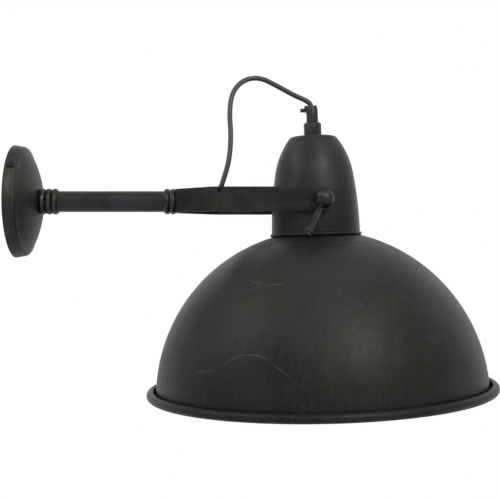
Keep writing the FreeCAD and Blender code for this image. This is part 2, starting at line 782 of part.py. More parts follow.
def makeLeadClamp():
    """A small block screwed to the near strap; the lead passes through it, leaning."""
    inner = size["bar_thickness"] - size["strap_outer"]
    depth = size["clamp_depth"]
    halfWidth = size["clamp_width"] / 2
    halfHeight = size["clamp_height"] / 2
    block = newBody("clamp_block")
    sketch = newSketch(block, "XY")
    nose = size["clamp_nose"]
    drawOutline(sketch, [
        (-halfWidth, 0),
        (halfWidth, 0),
        (halfWidth, depth - nose, nose),
        (halfWidth - nose, depth),
        (nose - halfWidth, depth, nose),
        (-halfWidth, depth - nose),
    ])
    pad(block, sketch, size["clamp_height"], "Symmetric")
    place(block, size["clamp_x"], inner, size["clamp_z"])
    bore = newBody("clamp_bore")
    sketch = newSketch(bore, "XY")
    drawCircle(sketch, size["clamp_bore_radius"])
    pad(bore, sketch, size["clamp_height"] * 4, "Symmetric")
    place(bore, size["clamp_x"], size["clamp_lead_y"], size["clamp_z"],
          pitch=size["clamp_lead_lean"])
    engagement = size["clamp_lead_y"] - size["clamp_screw_stop"] - inner
    tapped = disc("clamp_thread", size["clamp_screw_radius"], engagement)
    place(tapped, size["clamp_x"], inner, size["clamp_z"], roll=-90)
    keep(boolean("cut", "clamp_cut", block, [bore, tapped]), "lead_clamp")
    headRadius = size["clamp_screw_head_radius"]
    headHeight = size["clamp_screw_head_height"]
    socket = size["clamp_screw_socket_radius"]
    thick = size["bar_thickness"]
    screw = turned("clamp_pin", [
        (0, thick + engagement),
        (0, -size["clamp_screw_socket_floor"]),
        (socket, -size["clamp_screw_socket_floor"]),
        (socket, -headHeight, -size["clamp_screw_crown"]),
        (headRadius, 0),
        (size["clamp_screw_radius"], 0),
        (size["clamp_screw_radius"], thick + engagement),
    ])
    place(screw, size["clamp_x"], -size["strap_outer"], size["clamp_z"], roll=-90)
    keep(screw, "lead_clamp_screw")


# Head


def makeCap():
    """The spun neck that hangs between the straps: closed crown, rolled lip, inner flange."""
    wall = size["cap_wall"]
    crown = size["cap_crown_radius"]
    top = size["cap_top"]
    shoulder = size["cap_shoulder_radius"]
    shoulderZ = size["cap_shoulder_z"]
    waist = size["cap_waist_radius"]
    waistZ = size["cap_waist_z"]
    foot = size["cap_foot_radius"]
    footZ = size["cap_foot_z"]
    bottom = size["flange_z"]
    lip = size["lip_radius"]
    bead = size["lip_bead"]
    hole = size["nipple_radius"]
    throat = size["flange_inner"]
    cap = turned("cap", [
        (hole, top),
        (hole, top - wall),
        (crown, top - wall, -(size["cap_crown_arc"] - wall)),
        (shoulder - wall, shoulderZ - wall / 2, -(size["cap_upper_arc"] - wall)),
        (waist - wall, waistZ, -(size["cap_lower_arc"] - wall)),
        (foot - wall, footZ),
        (foot - wall, bottom + wall),
        (throat, bottom + wall),
        (throat, bottom),
        (lip - bead, bottom, bead),
        (lip, bottom + bead, bead),
        (foot, bottom + bead * 2),
        (foot, footZ, size["cap_lower_arc"]),
        (waist, waistZ, size["cap_upper_arc"]),
        (shoulder, shoulderZ, size["cap_crown_arc"]),
        (crown, top),
    ])
    bosses = newSketch(cap, "XZ")
    drawCircle(bosses, size["boss_radius"], size["head_offset"], 0)
    pocketThrough(cap, bosses)
    inHead(cap)
    keep(boolean("cut", "cap_cut", cap, flangeHoles("cap")), "head_cap")


def flangePlaces():
    """The three screws' places on the joint between cap and shade, in the head's coordinates."""
    circle = size["flange_screw_ring"]
    angles = [asSize(90 + 120 * number) for number in range(3)]
    return [(circle * cosine(angle), circle * sine(angle)) for angle in angles]


def flangeHoles(name):
    thickness = size["flange_thickness"]
    holes = []
    for number, (x, y) in enumerate(flangePlaces(), start=1):
        hole = disc("%s_flange_hole_%d" % (name, number), size["flange_screw_radius"], thickness * 5)
        holes.append(inHead(hole, x, y, size["flange_z"] - thickness * 2.5))
    return holes


def makeShade():
    """A spherical dome with a flat top flange; its rim turns outwards and rolls up over a gutter."""
    radius = size["shade_radius"]
    wall = size["shade_wall"]
    centre = size["shade_centre_z"]
    joint = size["flange_z"]
    rimZ = size["rim_z"]
    bead = size["rim_bead"]
    inner = radius - wall
    bottom = rimZ - bead
    curl = size["rim_reach"] - bead
    tube = bead - wall
    gap = size["rim_curl_end"]
    tipX = -cosine(gap)
    tipZ = sine(gap)

    def reach(sphere, z):
        return root(sphere * sphere - (z - centre) * (z - centre))

    shade = turned("dome", [
        (size["flange_inner"], joint),
        (size["flange_inner"], joint - wall),
        (reach(inner, joint - wall), joint - wall, -inner),
        (reach(inner, bottom), bottom),
        (curl, bottom, bead),
        (curl + bead, rimZ, bead),
        (curl, rimZ + bead, bead),
        (curl + tipX * bead, rimZ + tipZ * bead),
        (curl + tipX * tube, rimZ + tipZ * tube, -tube),
        (curl, rimZ + tube, -tube),
        (curl + tube, rimZ, -tube),
        (curl, rimZ - tube),
        (reach(radius, rimZ - tube), rimZ - tube, radius),
        (reach(radius, joint), joint),
    ])
    inHead(shade)
    keep(boolean("cut", "dome_cut", shade, flangeHoles("shade")), "shade")


def makeFlangeFasteners():
    thickness = size["flange_thickness"]
    above = size["flange_z"] + thickness
    below = size["flange_z"] - thickness
    radius = size["flange_screw_radius"]
    head = size["flange_head_radius"]
    height = size["flange_head_height"]
    nutHeight = size["flange_nut_thickness"]
    length = size["flange_screw_length"]
    screws = []
    nuts = []
    for number, (x, y) in enumerate(flangePlaces(), start=1):
        screw = turned("flange_screw_%d" % number, [
            (0, -length),
            (radius, -length),
            (radius, 0),
            (head, 0),
            (head, height / 2, head * size["head_crown"]),
            (head * size["head_flat"], height),
            (0, height),
        ])
        screws.append(inHead(screw, x, y, above))
        piece = nut("flange_nut_%d" % number, size["flange_nut_flats"], radius, nutHeight)
        nuts.append(inHead(piece, x, y, below - nutHeight))
    group("shade_screws", screws)
    group("shade_nuts", nuts)


def makePivot():
    """Bosses in the cap, friction washers beside the straps, and the far side's bolt."""
    length = size["boss_outer"] - size["boss_inner"]
    gap = size["washer_gap"]
    strapInner = size["strap_outer"] - size["bar_thickness"]
    thread = size["pivot_thread_radius"]
    running = thread + size["pivot_clearance"]
    bosses = []
    washers = []
    for name, side, bore in (("near", -1, running), ("far", 1, thread)):
        boss = ring("boss_%s" % name, size["boss_radius"], bore, length)
        bosses.append(place(boss, size["pivot_x"], size["boss_inner"] * side, 0, roll=-90 * side))
        thickness = strapInner - gap - size["boss_outer"]
        washer = ring("washer_%s" % name, size["washer_radius"], running, thickness)
        washers.append(place(washer, size["pivot_x"], size["boss_outer"] * side, 0, roll=-90 * side))
    group("pivot_bosses", bosses)
    group("friction_washers", washers)
    seat = size["strap_outer"] + gap
    head = size["far_head_radius"]
    height = size["far_head_height"]
    bolt = turned("far_bolt", [
        (0, size["boss_inner"] + gap),
        (thread, size["boss_inner"] + gap),
        (thread, seat),
        (head, seat),
        (head, seat + size["far_head_side"], size["far_head_crown"]),
        (size["far_head_flat"], seat + height),
        (0, seat + height),
    ])
    keep(place(bolt, size["pivot_x"], 0, 0, roll=-90), "far_pivot_bolt")


# Turns a piece made along its own Z so that it points back at the wall.
ACROSS = -90


def makeTopFittings():
    """Coupler and cord grip on the crown, and the threaded tube and nut that hold them."""
    crown = size["cap_top"]
    coupler = size["coupler_height"]
    chamfer = size["coupler_chamfer"]
    outer = size["coupler_radius"]
    bore = size["nipple_radius"]
    keep(inHead(turned("coupler", [
        (bore, 0),
        (outer, 0),
        (outer, coupler - chamfer),
        (size["coupler_top_radius"], coupler),
        (bore, coupler),
    ]), z=crown), "top_coupler")

    gripBottom = crown + coupler
    height = size["grip_height"]
    shift = size["head_lead_offset"]
    barrel = turned("grip_barrel", [
        (0, -size["grip_spigot_length"]),
        (size["grip_spigot_radius"], -size["grip_spigot_length"]),
        (size["grip_spigot_radius"], 0),
        (size["grip_radius"], 0),
        (size["grip_radius"], size["grip_shoulder"]),
        (size["grip_top_radius"], height),
        (0, height),
    ])
    inHead(barrel, z=gripBottom)
    jaw = newBody("grip_block")
    sketch = newSketch(jaw, "XZ")
    reach = size["grip_block_reach"]
    drawOutline(sketch, [
        (-size["grip_radius"] / 2, height - size["grip_block_root"]),
        (size["grip_radius"] / 2, height - size["grip_block_slope"]),
        (size["grip_top_radius"], height),
        (-reach, height),
        (-reach, height - size["grip_block_foot"]),
        (-size["grip_radius"], height - size["grip_block_slope"]),
    ])
    pad(jaw, sketch, size["grip_block_half"] * 2, "Symmetric")
    inHead(jaw, z=gripBottom)
    screwZ = height - size["grip_screw_drop"]
    bottom = -size["grip_spigot_length"] * 2
    mouth = size["grip_mouth_depth"]
    channel = turned("grip_bore", [
        (0, bottom),
        (size["grip_bore_radius"], bottom),
        (size["grip_bore_radius"], height - mouth),
        (size["grip_mouth_radius"], height),
        (size["grip_mouth_radius"], height + mouth),
        (0, height + mouth),
    ])
    inHead(channel, x=-shift, z=gripBottom)
    threaded = disc("grip_thread", size["grip_screw_radius"], reach)
    leadSide = -shift - size["lead_radius"]
    inHead(threaded, leadSide, 0, gripBottom + screwZ, ACROSS)
    body = boolean("fuse", "grip_body", barrel, [jaw])
    keep(boolean("cut", "grip_cut", body, [channel, threaded]), "cord_grip")

    headRadius = size["grip_screw_head_radius"]
    chamfer = size["grip_screw_chamfer"]
    shank = reach + leadSide
    screw = turned("grip_screw", [
        (0, 0),
        (size["grip_screw_radius"], 0),
        (size["grip_screw_radius"], shank),
        (headRadius, shank + chamfer),
        (headRadius, shank + size["grip_screw_head_length"] - chamfer),
        (headRadius - chamfer, shank + size["grip_screw_head_length"]),
        (0, shank + size["grip_screw_head_length"]),
    ])
    keep(inHead(screw, leadSide, 0, gripBottom + screwZ, ACROSS), "cord_grip_screw")

    nippleLength = size["head_nipple_end"] - size["head_nipple_start"]
    nipple = ring("inner_nipple", bore, size["nipple_bore"], nippleLength)
    keep(inHead(nipple, z=size["head_nipple_start"]), "head_nipple")
    under = crown - size["cap_wall"]
    washerTop = size["head_washer_thickness"]
    washer = ring("inner_washer", size["head_washer_radius"], bore, washerTop)
    keep(inHead(washer, z=under - washerTop), "head_washer")
    nutTop = under - washerTop - size["head_nut_thickness"]
    lock = nut("inner_nut", size["head_nut_flats"], bore, size["head_nut_thickness"])
    keep(inHead(lock, z=nutTop), "head_locknut")


def makeLampholder():
    """Bell, skirt, ceramic floor with its contact, and the metal screw shell."""
    top = size["holder_top"]
    joint = size["holder_joint_z"]
    bottom = size["holder_bottom"]
    outer = size["holder_radius"]
    wall = size["holder_wall"]
    neck = size["holder_neck_radius"]
    bore = size["nipple_radius"]
    floor = size["holder_floor"]
    bell = turned("bell", [
        (bore, top),
        (bore, top - size["holder_neck_length"]),
        (neck - size["holder_neck_wall"], top - size["holder_neck_length"]),
        (outer - wall, joint),
        (outer, joint),
        (outer, joint + wall, size["holder_crown"]),
        (neck, top),
    ])
    keep(inHead(bell), "holder_bell")
    skirt = turned("skirt", [
        (size["thread_shell_radius"], bottom),
        (outer - size["holder_neck_wall"], bottom),
        (outer, bottom + wall),
        (outer, joint),
        (size["thread_shell_radius"], joint),
    ])
    keep(inHead(skirt), "holder_skirt")
    thickness = size["holder_floor_thickness"]
    seat = ring("floor_disc", size["thread_shell_radius"], size["floor_hole_radius"], thickness)
    keep(inHead(seat, z=floor), "holder_floor")
    shellBottom = size["thread_shell_bottom"]
    shell = ring("screw_shell", size["thread_shell_radius"], size["thread_shell_bore"],
                 floor - shellBottom)
    keep(inHead(shell, z=shellBottom), "holder_shell")
    contact = disc("centre_contact", size["contact_radius"], size["contact_thickness"])
    keep(inHead(contact, z=floor - size["contact_thickness"]), "holder_contact")


def makeBulb():
    """Screw cap, tip, glass, and inside it the stem with four straight filaments."""
    capTop = size["bulb_cap_top"]
    capBottom = size["bulb_cap_bottom"]
    capRadius = size["bulb_cap_radius"]
    capWall = size["bulb_cap_wall"]
    slope = size["bulb_cap_shoulder"]
    tip = size["bulb_tip_radius"]
    keep(inHead(turned("bulb_shell", [
        (tip, capTop),
        (tip, capTop - capWall),
        (size["bulb_cap_crown"], capTop - capWall),
        (capRadius - capWall, capTop - slope),
        (capRadius - capWall, capBottom),
        (capRadius, capBottom),
        (capRadius, capTop - slope),
        (size["bulb_cap_crown"], capTop),
    ])), "bulb_cap")
    keep(inHead(turned("bulb_contact", [
        (0, capTop - capWall),
        (tip, capTop - capWall),
        (tip, capTop),
        (size["bulb_tip_end_radius"], size["bulb_tip_z"]),
        (0, size["bulb_tip_z"]),
    ])), "bulb_tip")
    glass = size["bulb_glass"]
    radius = size["bulb_radius"]
    centre = size["bulb_centre_z"]
    shoulder = size["bulb_shoulder_radius"]
    lift = root(radius * radius - shoulder * shoulder)
    share = (radius - glass) / radius
    neck = size["bulb_neck_radius"]
    throat = size["bulb_throat_radius"]
    throatZ = size["bulb_throat_z"]
    neckTop = size["bulb_neck_top"]
    keep(inHead(turned("bulb_envelope", [
        (neck, neckTop),
        (neck - glass, neckTop),
        (neck - glass, capBottom),
        (throat - glass, throatZ),
        (shoulder * share, centre + lift * share, -radius * share),
        (radius * share, centre, -radius * share),
        (0, centre - radius * share),
        (0, centre - radius, radius),
        (radius, centre, radius),
        (shoulder, centre + lift),
        (throat, throatZ),
        (neck, capBottom),
    ])), "bulb_glass")
    stemEnd = size["stem_end_z"]
    stem = turned("bulb_mount", [
        (0, stemEnd),
        (size["stem_radius"], stemEnd),
        (size["stem_radius"], throatZ),
        (size["stem_flare_radius"], neckTop - size["stem_flare_edge"]),
        (size["stem_flare_radius"], neckTop),
        (0, neckTop),
    ])
    keep(inHead(stem), "bulb_stem")
    filaments = []
    circle = size["filament_circle"]
    length = size["filament_length"]
    for number in range(4):
        angle = asSize(45 + 90 * number)
        piece = disc("filament_%d" % (number + 1), size["filament_radius"], length)
        middle = stemEnd - size["filament_gap"] - length
        filaments.append(inHead(piece, circle * cosine(angle), circle * sine(angle), middle))
    group("bulb_filaments", filaments)


# Clamp lever


def makeLever():
    """Round hub and tapered handle with a ring near its end, its washer and its stud."""
    seat = size["strap_outer"] + size["washer_gap"]
    thickness = size["lever_washer_thickness"]
    running = size["pivot_thread_radius"]
    washer = ring("hub_washer", size["washer_radius"], running, thickness)
    keep(place(washer, size["pivot_x"], -seat, 0, roll=90), "lever_washer")

    radius = size["hub_radius"]
    top = size["hub_top_radius"]
    hubCentre = -size["hub_centre_y"]
    seatDepth = hubCentre - seat - thickness
    flatReach = root(radius * radius - seatDepth * seatDepth)
    hub = turned("hub", [
        (running, -seatDepth),
        (flatReach, -seatDepth, radius),
        (radius, 0, radius),
        (top, root(radius * radius - top * top), size["hub_top_crown"]),
        (size["hub_top_flat"], size["hub_top_reach"]),
        (0, size["hub_top_reach"]),
        (0, 0),
        (running, 0),
    ])
    place(hub, size["pivot_x"], size["hub_centre_y"], 0, roll=90)

    ringTop = size["lever_neck_end"] + size["handle_length"] - size["handle_ring_length"]
    ringEnd = ringTop + size["handle_ring_length"]
    tipEnd = ringEnd + size["handle_tip_length"]
    endRadius = size["handle_end_radius"]
    bandRadius = size["handle_ring_radius"]
    chamfer = size["handle_ring_chamfer"]
    neckStart = size["handle_root"]
    neckRadius = size["lever_neck_radius"]
    neckEnd = size["lever_neck_end"]
    handle = turned("handle", [
        (0, -neckStart),
        (0, -tipEnd),
        (size["handle_tip_flat"], -tipEnd, size["handle_tip_crown"]),
        (endRadius, -ringEnd - size["handle_tip_side"]),
        (endRadius, -ringEnd),
        (bandRadius, chamfer - ringEnd),
        (bandRadius, -ringTop - chamfer),
        (endRadius, -ringTop),
        (size["handle_top_radius"], -neckEnd, size["handle_shoulder"]),
        (neckRadius, size["handle_shoulder_length"] - neckEnd),
        (neckRadius, -neckStart),
    ])
    place(handle, size["pivot_x"], size["hub_centre_y"], 0,
          pitch=size["lever_swing"], roll=-size["lever_lean"])
    keep(boolean("fuse", "lever_body", hub, [handle]), "clamp_lever")
    length = hubCentre - size["stud_inner_end"]
    stud = disc("stud", running, length)
    keep(place(stud, size["pivot_x"], size["hub_centre_y"], 0, roll=-90), "lever_stud")


# Lead


def roundedPath(points):
    """Straight runs joined by tangent arcs as large as the shorter run allows."""
    edges = []
    radii = []
    start = points[0]
    for before, corner, after in zip(points, points[1:], points[2:]):
        arriving = (corner - before).normalize()
        leaving = (after - corner).normalize()
        turn = arriving.getAngle(leaving)
        trim = size["lead_trim"].value * min((corner - before).Length, (after - corner).Length)
        radius = trim / math.tan(turn / 2)
        radii.append(radius)
        first = corner - arriving * trim
        last = corner + leaving * trim
        inward = (leaving - arriving).normalize()
        middle = corner + inward * (radius / math.cos(turn / 2) - radius)
        edges.append(Part.LineSegment(start, first).toShape())
        edges.append(Part.Arc(first, middle, last).toShape())
        start = last
    edges.append(Part.LineSegment(start, points[-1]).toShape())
    return Part.Wire(edges), radii


def makeLeadPiece(label, route):
    """Sweeps the round lead along a route and compares its volume with its length."""
    points = [FreeCAD.Vector(*point) for point in route]
    path, radii = roundedPath(points)
    radius = size["lead_radius"].value
    section = Part.Wire(Part.Circle(points[0], points[1] - points[0], radius).toShape())
    solid = path.makePipeShell([section], True, False)
    lead = doc.addObject("Part::Feature", label)
    lead.Shape = solid
    lead.Placement = FreeCAD.Placement()
    expected = math.pi * radius ** 2 * path.Length
    print("%s: length %.1f, volume %.0f against %.0f, radii %s" % (
        label, path.Length, solid.Volume, expected, " ".join("%.1f" % item for item in radii)))
    if abs(solid.Volume / expected - 1) > 0.01:
        raise RuntimeError("%s: the tube's volume is off" % label)
    return keep(lead, label)


# The free stretch: out of the nipple, through the clamp, up and over to the cord grip.
LEAD_ROUTE = [
    (172.4, 0.0, 0.0),
    (180.4, 0.0, 0.0),
    (188.0, -3.6, -1.8),
    (193.2, -10.4, -4.2),
    (196.3, -18.8, -6.2),
    (199.0, -27.4, -6.6),
    (202.2, -34.6, -3.0),
    (205.5, -38.7, 3.2),
    (209.2, -39.5, 12.0),
    (213.4, -38.9, 25.0),
    (217.3, -37.0, 40.0),
    (218.9, -33.0, 63.0),
    (217.0, -28.5, 86.0),
    (219.5, -24.0, 107.0),
    (231.0, -18.5, 120.6),
    (247.5, -13.0, 123.8),
    (264.5, -8.0, 116.2),
    (281.5, -3.5, 107.6),
    (292.5, -0.8, 103.4),
    (297.78, 0.0, 100.26),
    (299.34, 0.0, 97.7),
    (299.43, 0.0, 94.56),
]


# Behind the rose the lead turns from straight up to along the arm, in runs at these angles.
QUARTER_TURN = (0, 30, 60)


def makeLead():
    """The lead in its three stretches: behind the rose and in the arm, free, and in the head."""
    x = size["bracket_thickness"].value + size["terminal_depth"].value / 2
    z = size["terminal_top"].value
    run = -z / sum(math.cos(math.radians(angle)) for angle in QUARTER_TURN)
    route = [(x, 0.0, z)]
    for angle in QUARTER_TURN:
        x += run * math.sin(math.radians(angle))
        z += run * math.cos(math.radians(angle))
        route.append((x, 0.0, z))
    route.append((size["nipple_end"].value, 0.0, 0.0))
    makeLeadPiece("arm_lead", route)
    makeLeadPiece("head_lead", LEAD_ROUTE)
    start = size["holder_floor"] + size["holder_floor_thickness"]
    end = size["cap_top"] + size["coupler_height"] + size["grip_height"] - size["grip_mouth_depth"]
    inside = disc("lead_in_head", size["lead_radius"], end - start)
    keep(inHead(inside, x=-size["head_lead_offset"], z=start), "holder_lead")


def checkAndExport():
    doc.recompute()
    failed = [item.Label for item in doc.Objects if {"Invalid", "Error"} & set(item.State)]
    if failed:
        raise RuntimeError("failed: %s" % ", ".join(failed))
    for node in nodes:
        if node.Shape.isNull() or not node.Shape.isValid() or not node.Shape.Solids:
            raise RuntimeError("%s has no valid solid" % node.Label)
    os.makedirs("parts", exist_ok=True)
    for node in nodes:
        node.Shape.exportStep("parts/%s.step" % node.Label)
        print("%-18s %d solid(s) %9.1f mm3" % (
            node.Label, len(node.Shape.Solids), node.Shape.Volume))
    print("%d sub-parts" % len(nodes))


makeWallBracket()
makeWallRose()
makeRoseScrews()
makeTerminals()
makeArm()
makeYoke()
makeLeadClamp()
makeCap()
makeShade()
makeFlangeFasteners()
makePivot()
makeTopFittings()
makeLampholder()
makeBulb()
makeLever()
makeLead()
checkAndExport()
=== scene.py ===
import math

import bpy
from mathutils import Matrix, Vector


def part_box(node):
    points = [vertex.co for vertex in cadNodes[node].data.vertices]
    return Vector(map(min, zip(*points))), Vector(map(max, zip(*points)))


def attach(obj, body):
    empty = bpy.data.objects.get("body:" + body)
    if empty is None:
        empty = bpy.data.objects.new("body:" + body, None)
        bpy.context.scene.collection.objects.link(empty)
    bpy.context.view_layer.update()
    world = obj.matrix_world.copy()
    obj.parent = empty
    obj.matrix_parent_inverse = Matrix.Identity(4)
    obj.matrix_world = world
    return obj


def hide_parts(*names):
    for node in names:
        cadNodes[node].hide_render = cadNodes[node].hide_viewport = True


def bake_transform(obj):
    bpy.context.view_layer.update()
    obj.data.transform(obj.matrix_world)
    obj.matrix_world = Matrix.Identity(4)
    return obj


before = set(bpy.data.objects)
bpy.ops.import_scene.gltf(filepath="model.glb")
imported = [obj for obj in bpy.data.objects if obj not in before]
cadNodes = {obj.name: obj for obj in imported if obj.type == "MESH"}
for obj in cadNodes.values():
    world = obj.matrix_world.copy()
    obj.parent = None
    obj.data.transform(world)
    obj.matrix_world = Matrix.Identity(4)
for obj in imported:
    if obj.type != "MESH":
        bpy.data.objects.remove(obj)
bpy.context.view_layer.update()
millimetre = 0.001
print("frame loaded, %d nodes" % len(cadNodes))

# The head leans a little at rest; its pieces are modelled upright and then set into it.
headRest = {"lean": -1.8, "pivotX": 0.3085, "offset": 0.0052}


def headPlace():
    lean = math.radians(headRest["lean"])
    x = headRest["pivotX"] - headRest["offset"] * math.cos(lean)
    z = headRest["offset"] * math.sin(lean)
    return Matrix.Translation((x, 0, z)) @ Matrix.Rotation(lean, 4, "Y")


def alongArm(x):
    # a piece turned about its own Z comes to lie along the arm
    return Matrix.Translation((x, 0, 0)) @ Matrix.Rotation(math.radians(90), 4, "Y")


def pickOnly(*pieces):
    for item in list(bpy.context.selected_objects):
        item.select_set(False)
    for piece in pieces:
        piece.select_set(True)
        bpy.context.view_layer.objects.active = piece


def settle(piece, place):
    # puts the place into the mesh, so that the object itself stays at the origin
    piece.matrix_world = place @ piece.matrix_world
    pickOnly(piece)
    bpy.ops.object.transform_apply(location=True, rotation=True, scale=True)
    return piece


def arcSteps(start, end, bend, stepAngle, stepLength):
    # points between two corners on an arc; a positive bend turns left, a negative one right
    chord = end - start
    left = Vector((-chord.y, chord.x)).normalized()
    rise = math.sqrt(max(bend * bend - chord.length_squared / 4, 0))
    centre = (start + end) / 2 + left * math.copysign(rise, bend)
    sweep = 2 * math.asin(min(chord.length / 2 / abs(bend), 1))
    steps = max(2, math.ceil(sweep / stepAngle), math.ceil(sweep * abs(bend) / stepLength))
    turn = math.copysign(sweep / steps, bend)
    arm = start - centre
    found = []
    for step in range(1, steps):
        angle = turn * step
        found.append(centre + Vector((
            arm.x * math.cos(angle) - arm.y * math.sin(angle),
            arm.x * math.sin(angle) + arm.y * math.cos(angle))))
    return found


def turnedPiece(name, corners, around=96, closed=True, stepAngle=15, stepLength=5, smooth=35):
    # corners are (radius, height) or (radius, height, bend) in millimetres
    rings = []
    for number, corner in enumerate(corners):
        start = Vector(corner[:2])
        rings.append(start)
        if len(corner) == 3:
            end = Vector(corners[(number + 1) % len(corners)][:2])
            rings.extend(arcSteps(start, end, corner[2], math.radians(stepAngle), stepLength))
    if closed:
        rings.append(Vector(corners[0][:2]))
    rings = [ring * millimetre for ring in rings]
    pickOnly()
    bpy.ops.mesh.primitive_circle_add(vertices=around, radius=rings[0].x, location=(0, 0, rings[0].y))
    piece = bpy.context.object
    piece.name = name
    bpy.ops.object.transform_apply(location=True)
    bpy.ops.object.mode_set(mode="EDIT")
    bpy.ops.mesh.select_all(action="SELECT")
    for before, ring in zip(rings, rings[1:]):
        bpy.ops.mesh.extrude_region_move(TRANSFORM_OT_translate={"value": (0, 0, ring.y - before.y)})
        ratio = ring.x / before.x
        bpy.ops.transform.resize(value=(ratio, ratio, 1), center_override=(0, 0, 0))
    bpy.ops.mesh.select_all(action="SELECT")
    bpy.ops.mesh.remove_doubles(threshold=0.000002)
    if not closed:
        bpy.ops.mesh.select_all(action="SELECT")
        bpy.ops.mesh.fill_holes(sides=0)
    bpy.ops.mesh.select_all(action="SELECT")
    bpy.ops.mesh.normals_make_consistent(inside=False)
    bpy.ops.object.mode_set(mode="OBJECT")
    pickOnly(piece)
    bpy.ops.object.shade_smooth_by_angle(angle=math.radians(smooth))
    return piece


def softenedCopy(nodeName, name, width, segments=2, smooth=40):
    # the same shape as the node, with its sharp edges broken as on a handled piece
    piece = bpy.data.objects.new(name, cadNodes[nodeName].data.copy())
    bpy.context.collection.objects.link(piece)
    piece.data.materials.clear()
    pickOnly(piece)
    bpy.ops.mesh.customdata_custom_splitnormals_clear()
    bpy.ops.object.mode_set(mode="EDIT")
    bpy.ops.mesh.select_all(action="SELECT")
    bpy.ops.mesh.remove_doubles(threshold=0.00001)
    bpy.ops.mesh.select_all(action="SELECT")
    bpy.ops.mesh.dissolve_limited(angle_limit=math.radians(0.6))
    bpy.ops.object.mode_set(mode="OBJECT")
    bevel = piece.modifiers.new("brokenEdges", "BEVEL")
    bevel.limit_method = "ANGLE"
    bevel.angle_limit = math.radians(smooth)
    bevel.width = width * millimetre
    bevel.segments = segments
    bevel.use_clamp_overlap = True
    bpy.ops.object.modifier_apply(modifier=bevel.name)
    bpy.ops.object.shade_smooth_by_angle(angle=math.radians(smooth))
    return piece


def cutSlot(piece, place, length, width, depth):
    # a screwdriver slot: place has its Z along the screw and its origin in the middle of the head's face
    pickOnly()
    bpy.ops.mesh.primitive_cube_add(size=1)
    cutter = bpy.context.object
    cutter.matrix_world = place @ Matrix.Diagonal((length * millimetre, width * millimetre,
                                                   depth * 2 * millimetre, 1))
    bpy.context.view_layer.update()
    slot = piece.modifiers.new("slot", "BOOLEAN")
    slot.operation = "DIFFERENCE"
    slot.object = cutter
    slot.solver = "EXACT"
    pickOnly(piece)
    bpy.ops.object.modifier_apply(modifier=slot.name)
    bpy.data.objects.remove(cutter)
    bpy.ops.object.shade_smooth_by_angle(angle=math.radians(40))
    return piece


def wirePiece(name, runs, thickness):
    # thin bent wires, each run a list of points in millimetres
    line = bpy.data.curves.new(name, "CURVE")
    line.dimensions = "3D"
    for run in runs:
        spline = line.splines.new("POLY")
        spline.points.add(len(run) - 1)
        for point, spot in zip(spline.points, run):
            point.co = [value * millimetre for value in spot] + [1.0]
    line.bevel_depth = thickness * millimetre / 2
    line.bevel_resolution = 2
    line.use_fill_caps = True
    piece = bpy.data.objects.new(name, line)
    bpy.context.collection.objects.link(piece)
    pickOnly(piece)
    bpy.ops.object.convert(target="MESH")
    piece = bpy.context.object
    bpy.ops.object.shade_smooth_by_angle(angle=math.radians(50))
    return piece


def joined(name, *pieces):
    pickOnly(*pieces)
    bpy.context.view_layer.objects.active = pieces[0]
    bpy.ops.object.join()
    pieces[0].name = name
    return pieces[0]


def finished(piece, body, slot, material, *nodes):
    if not piece.data.materials:
        piece.data.materials.append(material)
    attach(piece, body)
    if nodes:
        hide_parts(*nodes)
    return piece


# Materials

def newGroup(name, inputs, outputs):
    group = bpy.data.node_groups.new(name, "ShaderNodeTree")
    for label, kind, value in inputs:
        socket = group.interface.new_socket(label, in_out="INPUT", socket_type=kind)
        if value is not None:
            socket.default_value = value
    for label, kind in outputs:
        group.interface.new_socket(label, in_out="OUTPUT", socket_type=kind)
    return group, group.nodes.new("NodeGroupInput"), group.nodes.new("NodeGroupOutput")


def addNode(tree, kind, settings=None, values=None, links=None):
    node = tree.nodes.new(kind)
    for key, value in (settings or {}).items():
        setattr(node, key, value)
    for key, value in (values or {}).items():
        node.inputs[key].default_value = value
    for key, socket in (links or {}).items():
        tree.links.new(socket, node.inputs[key])
    return node


def math2(tree, operation, first, second, clamp=False):
    node = addNode(tree, "ShaderNodeMath", {"operation": operation, "use_clamp": clamp})
    for index, value in enumerate((first, second)):
        if hasattr(value, "is_linked"):
            tree.links.new(value, node.inputs[index])
        else:
            node.inputs[index].default_value = value
    return node.outputs[0]


def stepBetween(tree, value, low, high, start=0.0, end=1.0):
    node = addNode(tree, "ShaderNodeMapRange", {"interpolation_type": "SMOOTHSTEP"},
                   {"From Min": low, "From Max": high, "To Min": start, "To Max": end},
                   {"Value": value})
    return node.outputs[0]


def mixColor(tree, factor, first, second, mode="MIX"):
    node = addNode(tree, "ShaderNodeMix", {"data_type": "RGBA", "blend_type": mode})
    for index, value in ((0, factor), (6, first), (7, second)):
        if hasattr(value, "is_linked"):
            tree.links.new(value, node.inputs[index])
        else:
            node.inputs[index].default_value = value
    return node.outputs[2]


def shaded(tree, color, share):
    # the colour times one share for all three of its parts
    tint = addNode(tree, "ShaderNodeCombineColor", None, None, {0: share, 1: share, 2: share})
    return mixColor(tree, 1.0, color, tint.outputs[0], "MULTIPLY")


def noiseAt(tree, vector, scale, detail=3.0, roughness=0.5, shift=(0, 0, 0), stretch=(1, 1, 1)):
    mapping = addNode(tree, "ShaderNodeMapping", None, {"Location": shift, "Scale": stretch},
                      {"Vector": vector})
    node = addNode(tree, "ShaderNodeTexNoise", None, {"Detail": detail, "Roughness": roughness},
                   {"Vector": mapping.outputs[0]})
    if hasattr(scale, "is_linked"):
        tree.links.new(scale, node.inputs["Scale"])
    else:
        node.inputs["Scale"].default_value = scale
    return node.outputs[0]


# Scales and heights of the aged surface, shared by every blackened piece
agedLook = {"grain": 420, "speck": 1500, "streak": 300, "rubbed": 22, "dent": 34, "dentHeight": 1.1,
            "grainHeight": 0.16, "pitDepth": 0.12, "streakHeight": 0.05, "cloudGloss": 0.35,
            "grainGloss": 0.16}


